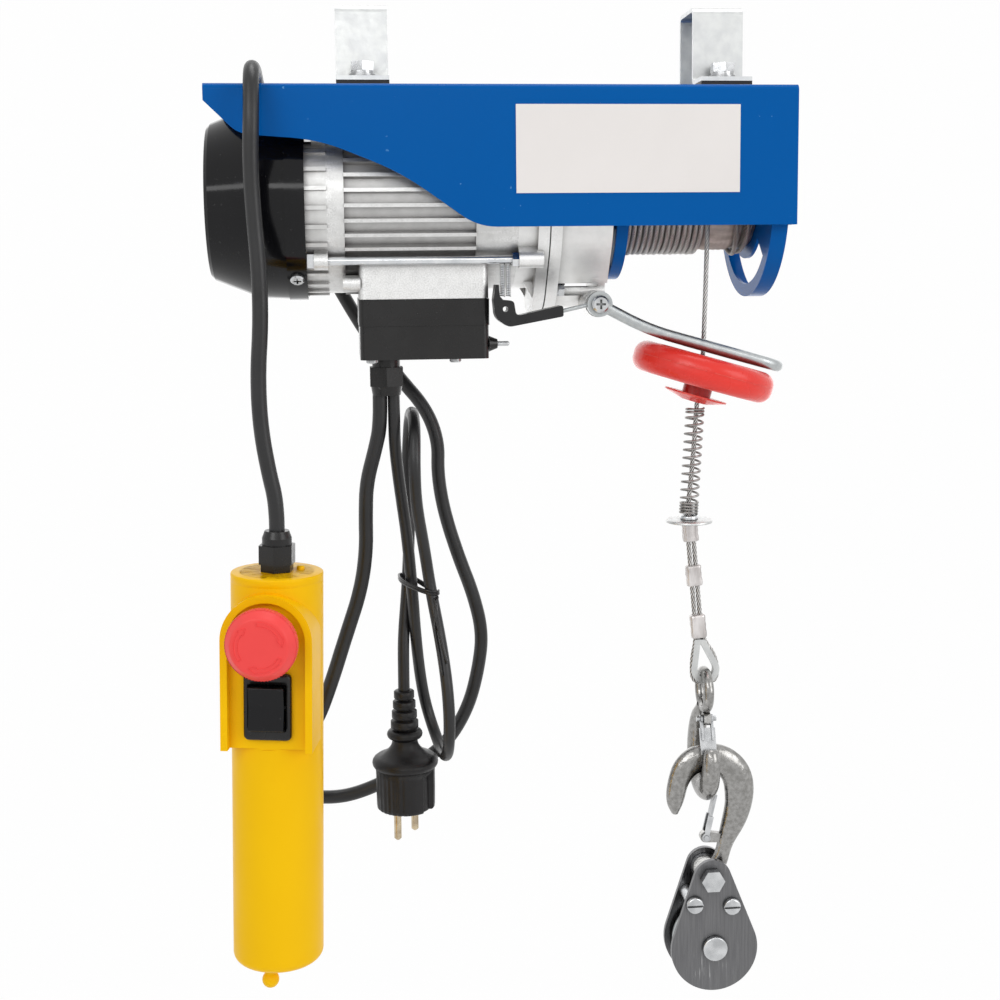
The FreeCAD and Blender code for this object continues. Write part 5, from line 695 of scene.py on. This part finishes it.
def make_winding():
    route = drum_turns(winding_first, (0, -1, 0), winding_radius, winding_pitch, winding_turns)
    route = route[:2] + wobbled(route[2:-6], 0.4, 0.00028, 0.0005) + route[-6:]
    lead = Vector((0, 0, 0.003))
    turns = rope_mesh("rope_winding_turns", line_of([route[0] + lead] + route + [route[-1] - lead], 3))
    add_piece(turns, "rope", "drum_set", "rope_winding")
    # Lower layer, close turns seen between and beside the upper ones
    lower = drum_turns(lower_first, (0, 1, 0), lower_radius, lower_pitch, lower_turns)
    under = rope_mesh("rope_winding_lower", line_of(lower, 2))
    add_piece(under, "rope", "drum_set", look="rope_old")
    core_outline = [(0, 0.0240), (0, 0.0290), (0.0400, 0.0291), (0.0834, 0.0290), (0.0834, 0.0240),
                    (0, 0.0240)]
    core = revolve_mesh("rope_winding_core", core_outline, (0.0480, 0, drum_level), along_drum, 96)
    add_piece(core, "rope", "drum_set", look="rope_old")
    # Cloth tape over the lower layer, thinner at its edges
    band = []
    for step in range(19):
        share = step / 18
        worn_edge = 0.0012 * (share * 2 - 1) ** 8
        band.append((tape_length * share, tape_radius - worn_edge + 0.00025 * math.sin(step * 2.1)))
    tape = revolve_mesh("rope_tape", band, (tape_left, 0, drum_level), along_drum, 96)
    add_piece(tape, "rope", "drum_set", look="tape")
    # Two turns of the upper layer beside the right flange, crossed by their own end
    end_turns = drum_turns(crossing_first, (0, -1, 0), winding_radius, crossing_pitch, crossing_turns)
    end_turns = wobbled(end_turns, 2.3, 0.0003, 0.0003)
    reach = winding_radius + 0.0022
    crossing = []
    for step in range(8):
        angle = math.radians(-16 + 14 * step)
        crossing.append(Vector((0.1142 + 0.0011 * step, -reach * math.cos(angle),
                                drum_level - reach * math.sin(angle))))
    end = rope_mesh("rope_winding_end", line_of(crossing + end_turns[7:], 3))
    add_piece(end, "rope", "drum_set", look="rope_old")


make_winding()


# Hoisting rope down to the hook, doubled in the splice below the sleeve, with an eye at its end
rope_plane = -0.0325
rope_line_top = Vector((0.09953, rope_plane, -0.1152))
rope_line_end = Vector((0.0970, rope_plane, -0.2055))
splice_top = Vector((0.0887, rope_plane, -0.3105))
splice_low = Vector((0.0955, rope_plane, -0.3870))
splice_way = Vector((0.0885, 0, -0.9961))
splice_side = Vector((0.9961, 0, 0.0885))
strand_apart = 0.0017


def on_rope_plane(*spots):
    return [Vector((x, rope_plane, z)) for x, z in spots]


def make_rope_line():
    middle = [rope_line_top.lerp(rope_line_end, share) for share in (0.25, 0.5, 0.75)]
    line = rope_mesh("rope_line_strands", line_of([rope_line_top] + middle + [rope_line_end], 16))
    add_blend(line, "rope", ("hoist", "hook_line"), rope_line_top, rope_line_end, "rope_line")
    aside = splice_side * strand_apart
    upper = splice_top.lerp(splice_low, 0.3)
    lower = splice_top.lerp(splice_low, 0.8)
    route = [rope_line_end - Vector((0, 0, 0.0003))]
    route += on_rope_plane((0.0950, -0.2205), (0.0933, -0.2340), (0.0910, -0.2720))
    route += [splice_top - aside, upper - aside, lower - aside, splice_low - aside]
    route += on_rope_plane((0.0910, -0.4000), (0.0911, -0.4150), (0.0992, -0.4152), (0.1073, -0.4150),
                           (0.1067, -0.3995))
    route += [splice_low + aside, lower + aside, upper + aside, splice_top + splice_way * 0.0028 + aside]
    end = rope_mesh("rope_end_strands", line_of(route, 12))
    add_piece(end, "rope", "hook_line", "rope_end")


make_rope_line()


# End sleeve with its washer, and three ferrules pressed onto the two parts of the rope
ferrule_half_width = 0.0050
ferrule_half_depth = 0.00325
ferrule_around = 48
ferrule_levels = ((-0.3129, -0.3246), (-0.3399, -0.3530), (-0.3717, -0.3866))
ferrule_press = ((0, 0.80), (0.04, 0.97), (0.12, 1.0), (0.30, 0.95), (0.42, 1.0), (0.60, 0.94), (0.74, 1.0),
                 (0.90, 0.99), (0.97, 0.95), (1.0, 0.80))


def pressed_ferrule(bm, top, low, seed):
    way = (low - top).normalized()
    length = (low - top).length
    side = Vector((way.z, 0, -way.x)) * -1
    rings = []
    for share, press in ferrule_press:
        ring = []
        for step in range(ferrule_around):
            angle = 2 * math.pi * step / ferrule_around
            dents = 1 + 0.05 * uneven(share * 9 + 4 * (step < ferrule_around / 2), seed)
            wide = ferrule_half_width * press * dents
            deep = ferrule_half_depth * press
            crease = 1 - 0.09 * max(0, math.cos(6 * angle + seed)) ** 4
            across = math.copysign(abs(math.cos(angle)) ** 0.55, math.cos(angle)) * wide * crease
            front = math.copysign(abs(math.sin(angle)) ** 0.55, math.sin(angle)) * deep * crease
            ring.append(bm.verts.new(top + way * (length * share) + side * across + Vector((0, front, 0))))
        rings.append(ring)
    bridge(bm, rings)
    bm.faces.new(rings[0])
    bm.faces.new(list(reversed(rings[-1])))


def make_ferrules():
    bm = bmesh.new()
    height = splice_top.z - splice_low.z
    for number, levels in enumerate(ferrule_levels):
        ends = [splice_top.lerp(splice_low, (splice_top.z - level) / height) for level in levels]
        pressed_ferrule(bm, ends[0], ends[1], 1.3 + number)
    ferrules = from_bmesh("rope_ferrules_pressed", bm)
    add_piece(ferrules, "chrome", "hook_line", "rope_ferrules", look="ferrule")
    washer_outline = [(0, 0.0018), (0, 0.01435), (0.0004, 0.01435), (0.0011, 0.01435), (0.0015, 0.0140),
                      (0.0015, 0.0018)]
    washer = revolve_mesh("rope_washer", washer_outline, (0.0887, rope_plane, -0.3123), (0, 0, 1))
    add_piece(washer, "chrome", "hook_line", look="zinc")
    sleeve_outline = [(0, 0.0036), (0, 0.0055), (0.0004, 0.0055), (0.0019, 0.0055), (0.0023, 0.0053),
                      (0.0023, 0.0036), (0, 0.0036)]
    sleeve = revolve_mesh("rope_sleeve", sleeve_outline, splice_top, (0, 0, 1))
    add_piece(sleeve, "chrome", "hook_line")


make_ferrules()


# Springs
spring_steps = 16
stop_spring_top = Vector((0.09206, rope_plane, -0.24089))
stop_spring_low = Vector((0.0882, rope_plane, -0.3072))
stop_spring_turns = 11
stop_spring_close = 0.0019
limit_spring_places = (-0.02865, -0.02515)
limit_spring_plane = -0.047
limit_spring_top = -0.15184
limit_spring_pitch = 0.00103
limit_spring_turns = 18
limit_spring_radius = 0.0014


def wire_piece(name, route, wire_radius, resolution, around=12):
    return tube_mesh(name, line_of(route, resolution), lambda distance, angle: wire_radius, around)


def make_stop_spring():
    """Compression spring with two close turns above and four below the open ones."""
    length = (stop_spring_low - stop_spring_top).length
    axis = (stop_spring_low - stop_spring_top).normalized()
    open_rise = (length - 6 * stop_spring_close) / stop_spring_turns
    steps = [stop_spring_close / spring_steps] * (2 * spring_steps)
    steps += [open_rise / spring_steps] * (spring_steps * stop_spring_turns)
    steps += [stop_spring_close / spring_steps] * (4 * spring_steps)
    route = wound(stop_spring_top, axis, (1, 0, 0), 0.00535, even_rises(steps), spring_steps)
    spring = wire_piece("stop_spring_wire", route, 0.0007, 2)
    add_blend(spring, "chrome", ("disc", "hook_line"), stop_spring_top, stop_spring_low, "stop_spring",
              look="spring_steel")


def make_limit_springs():
    low = limit_spring_top - limit_spring_pitch * limit_spring_turns
    rises = even_rises([limit_spring_pitch / spring_steps] * (spring_steps * limit_spring_turns))
    for number, centre_x in enumerate(limit_spring_places):
        top = Vector((centre_x, limit_spring_plane, limit_spring_top))
        route = wound(top, (0, 0, -1), (1, 0, 0), limit_spring_radius, rises, spring_steps)
        edge = centre_x + limit_spring_radius
        upper_end = Vector((edge, limit_spring_plane, limit_spring_top + 0.0006))
        lower_end = Vector((edge, limit_spring_plane, low - 0.0004))
        spring = wire_piece(f"limit_spring_{number}", [upper_end] + route + [lower_end], 0.0003, 2, 10)
        replaced = ("limit_springs",) if number == 0 else ()
        add_blend(spring, "chrome", ("hoist", "lever"), (centre_x, limit_spring_plane, limit_spring_top),
                  (centre_x, limit_spring_plane, low), *replaced)


make_stop_spring()
make_limit_springs()


# Pendant details: knurled rim and turning arrows of the stop button
pendant_at = Vector((-0.164, -0.080, -0.325))
pendant_turn = Matrix.Rotation(math.radians(1.4), 4, "Y") @ Matrix.Rotation(math.radians(-9.0), 4, "Z")
pendant_place = Matrix.Translation(pendant_at) @ pendant_turn
stop_centre = -0.0322
stop_face = 0.050
knurl_ridges = 72
knurl_levels = ((0.0046, 0.0199, 0.0), (0.0052, 0.0200, 0.0003), (0.0092, 0.0200, 0.0003),
                (0.0097, 0.0199, 0.0))
arrow_starts = (-5, 115, 235)
arrow_outer = 0.0140
arrow_inner = 0.0118
arrow_flare = 0.0012
arrow_lift = 0.0002


def on_pendant(x, y, z):
    return pendant_place @ Vector((x, y, z))


def make_stop_details():
    bm = bmesh.new()
    rings = []
    around = knurl_ridges * 4
    for depth, radius, lift in knurl_levels:
        ring = []
        for step in range(around):
            angle = 2 * math.pi * step / around
            reach = radius + lift * (1 if step % 4 in (0, 1) else -0.2)
            spot = on_pendant(math.cos(angle) * reach, -stop_face + depth,
                              stop_centre + math.sin(angle) * reach)
            ring.append(bm.verts.new(spot))
        rings.append(ring)
    bridge(bm, rings)
    rim = from_bmesh("stop_button_knurl", bm, smooth=False)
    add_piece(rim, "red_plastic", "stop_cap")

    # Raised outlines of three arrows round the face
    def on_face(radius, angle):
        return on_pendant(math.sin(angle) * radius, -stop_face - arrow_lift,
                          stop_centre + math.cos(angle) * radius)

    for number, first in enumerate(arrow_starts):
        start = math.radians(first)
        end = math.radians(first + 72)
        tip = math.radians(first + 92)
        ways = [start + (end - start) * part / 12 for part in range(13)]
        outline = [on_face(arrow_outer, way) for way in ways]
        outline.append(on_face(arrow_outer + arrow_flare, end))
        outline.append(on_face((arrow_outer + arrow_inner) / 2, tip))
        outline.append(on_face(arrow_inner - arrow_flare, end))
        outline += [on_face(arrow_inner, way) for way in reversed(ways)]
        outline.append(outline[0])
        arrow = tube_mesh(f"stop_button_arrow_{number}", evenly(outline, 0.0006),
                          lambda distance, angle: 0.00022, 8, capped=False)
        add_piece(arrow, "red_plastic", "stop_cap")


make_stop_details()


# Bezel of the rocker with rounded corners and a sunk inner edge
bezel_drop = 0.0720
bezel_back = -0.0260
bezel_proud = 0.0035
bezel_half_width = 0.0136
bezel_half_height = 0.01925
opening_half_width = 0.0105
opening_half_height = 0.0131
bezel_levels = ((0, 0.0002, 0.0028), (0.0018, 0.0, 0.0030), (0.0030, 0.0004, 0.0028),
                (0.0035, 0.0013, 0.0022))


def make_bezel():
    bm = bmesh.new()
    rings = []

    def add_ring(wide, high, round_radius, front):
        outline = rounded_rectangle(-wide, wide, -high, high, round_radius, 7)
        rings.append([bm.verts.new(on_pendant(x, front, -bezel_drop + z)) for x, z in outline])

    for rise, inset, round_radius in bezel_levels:
        add_ring(bezel_half_width - inset, bezel_half_height - inset, round_radius, bezel_back - rise)
    front = bezel_back - bezel_proud
    add_ring(opening_half_width + 0.0007, opening_half_height + 0.0007, 0.0010, front)
    add_ring(opening_half_width, opening_half_height, 0.0006, front + 0.0006)
    add_ring(opening_half_width, opening_half_height, 0.0006, bezel_back + 0.0040)
    bridge(bm, rings)
    bezel = from_bmesh("rocker_bezel_frame", bm)
    add_piece(bezel, "black_plastic", "hoist", "rocker_bezel")


make_bezel()


# Lid of the pendant, with a sharp edge and a small nub beside the gland
def make_pendant_lid():
    reach = 0.02646
    lid_outline = [(-0.0062, reach - 0.0006), (-0.0058, reach - 0.0001), (-0.0009, reach),
                   (-0.0003, reach - 0.0002), (0.0, reach - 0.0008), (0.0, 0.0100)]
    nub_outline = [(-0.0004, 0.0024), (0.0016, 0.0023), (0.0022, 0.0016), (0.0023, 0.0002)]
    for piece in (revolve_mesh("pendant_lid", lid_outline, (0, 0, 0), (0, 0, 1), 96),
                  revolve_mesh("pendant_nub", nub_outline, (0.0125, 0.0060, 0), (0, 0, 1), 24)):
        piece.data.transform(pendant_place)
        add_piece(piece, "yellow_plastic", "hoist")


make_pendant_lid()


# Fine raised seams that the moulds left: round the stop disc and round the box cover
disc_lean = math.radians(16.1)
disc_reach = 0.0440
cover_edges = (-0.1136, -0.0360, -0.0433, 0.0433)
cover_corner = 0.0042
cover_level = -0.18735


def make_seams():
    down = Vector((-math.sin(disc_lean), 0, -math.cos(disc_lean)))
    middle = Vector((0.0993, rope_plane, -0.2093)) + down * 0.0084
    seam_outline = [(-0.0004, disc_reach - 0.0002), (-0.0002, disc_reach + 0.00018),
                    (0.0002, disc_reach + 0.00018), (0.0004, disc_reach - 0.0002)]
    seam = revolve_mesh("stop_disc_seam", seam_outline, middle, down, 128)
    add_piece(seam, "red_disc", "disc")
    outline = rounded_rectangle(*cover_edges, cover_corner, 6)
    route = [Vector((x, y, cover_level)) for x, y in outline]
    route.append(route[0])
    line = tube_mesh("box_cover_seam", evenly(route, 0.0012),
                     lambda distance, angle: 0.00022 + 0.00008 * uneven(distance * 900, 1.3), 8, capped=False)
    add_piece(line, "black_plastic", "hoist")


make_seams()


# Wire tie round the hank of mains lead: two turns, a twist and two loose tails
tie_ring = [(-0.0672, -0.0080), (-0.0672, -0.0146), (-0.0726, -0.0170), (-0.0780, -0.0140), (-0.0896, 0.0026),
            (-0.0916, 0.0190), (-0.0900, 0.0262), (-0.0836, 0.0272), (-0.0796, 0.0210)]
tie_tails = (
    [(-0.0684, -0.0172, -0.3594), (-0.0706, -0.0186, -0.3640), (-0.0690, -0.0206, -0.3680),
     (-0.0712, -0.0236, -0.3740), (-0.0704, -0.0266, -0.3830), (-0.0684, -0.0310, -0.3930),
     (-0.0674, -0.0350, -0.4040)],
    [(-0.0706, -0.0170, -0.3594), (-0.0686, -0.0190, -0.3640), (-0.0708, -0.0212, -0.3690),
     (-0.0690, -0.0240, -0.3750), (-0.0668, -0.0290, -0.3850), (-0.0640, -0.0330, -0.3970)])


def make_tie():
    route = [Vector((-0.0700, -0.0168, -0.3600))]
    for turn in range(2):
        for place, (x, y) in enumerate(tie_ring):
            # The ring rises to the left and sinks by a wire's width in each turn
            level = -0.3556 + 0.0050 * (-0.0672 - x) / 0.0244 - 0.0016 * (turn + place / len(tie_ring))
            route.append(Vector((x, y, level)))
    route.append(Vector((-0.0668, -0.0118, -0.3592)))
    pieces = [("hank_tie", route + [Vector(tie_tails[0][0])])]
    for number, tail in enumerate(tie_tails):
        pieces.append((f"hank_tie_tail_{number}", [Vector(point) for point in tail]))
    for name, points in pieces:
        tie = tube_mesh(name, line_of(points, 10),
                        lambda distance, angle: 0.0006 + 0.0003 * abs(math.cos(angle)), 10)
        add_piece(tie, "black_plastic", "hoist")


make_tie()


# Studio: a white sweep, a white world and five soft lamps
floor_level = -1.27
floor_half_width = 4.0
floor_front = -3.0
sweep_start = 1.2
sweep_radius = 0.8
wall_top = 2.2
sweep_own_light = 0.97
world_light = 0.54
middle = (0, 0, -0.25)
# Name, place, target, size and power
lamps = (
    ("key_lamp", (-1.1, -1.5, 0.9), middle, (0.9, 0.9), 6),
    ("fill_lamp", (1.4, -1.2, 0.3), middle, (1.0, 1.2), 9),
    ("top_lamp", (0.1, 0.1, 1.4), middle, (1.2, 0.8), 9),
    ("back_lamp", (0.2, 1.0, -0.1), middle, (1.6, 1.2), 4),
    ("strip_lamp", (-0.75, -1.5, 0.36), (-0.15, 0, -0.12), (2.0, 0.16), 4.5),
)


def plain_rays(tree):
    """1 for camera, glossy and transmission rays, and 0 for the rays that light the object."""
    path = tree.nodes.new("ShaderNodeLightPath")
    result = path.outputs["Is Camera Ray"]
    for kind in ("Is Glossy Ray", "Is Transmission Ray"):
        either = tree.nodes.new("ShaderNodeMath")
        either.operation = "MAXIMUM"
        link(tree, result, either.inputs[0])
        link(tree, path.outputs[kind], either.inputs[1])
        result = either.outputs[0]
    return result


def make_sweep():
    white = bpy.data.materials.new("studio_white")
    white.use_nodes = True
    tree = white.node_tree
    shader = tree.nodes["Principled BSDF"]
    shader.inputs["Base Color"].default_value = (0.96, 0.96, 0.96, 1)
    shader.inputs["Roughness"].default_value = 0.9
    glow = tree.nodes.new("ShaderNodeEmission")
    glow.inputs["Strength"].default_value = 1.0
    mix = tree.nodes.new("ShaderNodeMixShader")
    link(tree, ramp(tree, plain_rays(tree), 0, 1, 0, sweep_own_light), mix.inputs[0])
    link(tree, shader.outputs[0], mix.inputs[1])
    link(tree, glow.outputs[0], mix.inputs[2])
    link(tree, mix.outputs[0], tree.nodes["Material Output"].inputs["Surface"])

    profile = [(floor_front, floor_level), (sweep_start, floor_level)]
    for step in range(1, 9):
        angle = math.pi / 2 * step / 8
        profile.append((sweep_start + sweep_radius * math.sin(angle),
                        floor_level + sweep_radius * (1 - math.cos(angle))))
    profile.append((sweep_start + sweep_radius, wall_top))
    verts = []
    for along, height in profile:
        verts.append((-floor_half_width, along, height))
        verts.append((floor_half_width, along, height))
    faces = []
    for place in range(len(profile) - 1):
        faces.append((2 * place, 2 * place + 1, 2 * place + 3, 2 * place + 2))
    sweep = add_mesh("studio_sweep", verts, faces)
    sweep.data.materials.append(white)


def make_world():
    world = bpy.data.worlds.new("studio_world")
    world.use_nodes = True
    tree = world.node_tree
    background = tree.nodes["Background"]
    background.inputs["Color"].default_value = (1, 1, 1, 1)
    link(tree, ramp(tree, plain_rays(tree), 0, 1, world_light, 1.0), background.inputs["Strength"])
    bpy.context.scene.world = world


def make_lamp(name, place, target, size, power):
    data = bpy.data.lights.new(name, "AREA")
    data.shape = "RECTANGLE"
    data.size, data.size_y = size
    data.energy = power
    light = bpy.data.objects.new(name, data)
    light.location = place
    light.rotation_euler = (Vector(target) - Vector(place)).to_track_quat("-Z", "Y").to_euler()
    bpy.context.scene.collection.objects.link(light)


make_sweep()
make_world()
for lamp in lamps:
    make_lamp(*lamp)
bpy.context.scene.view_settings.view_transform = "Standard"
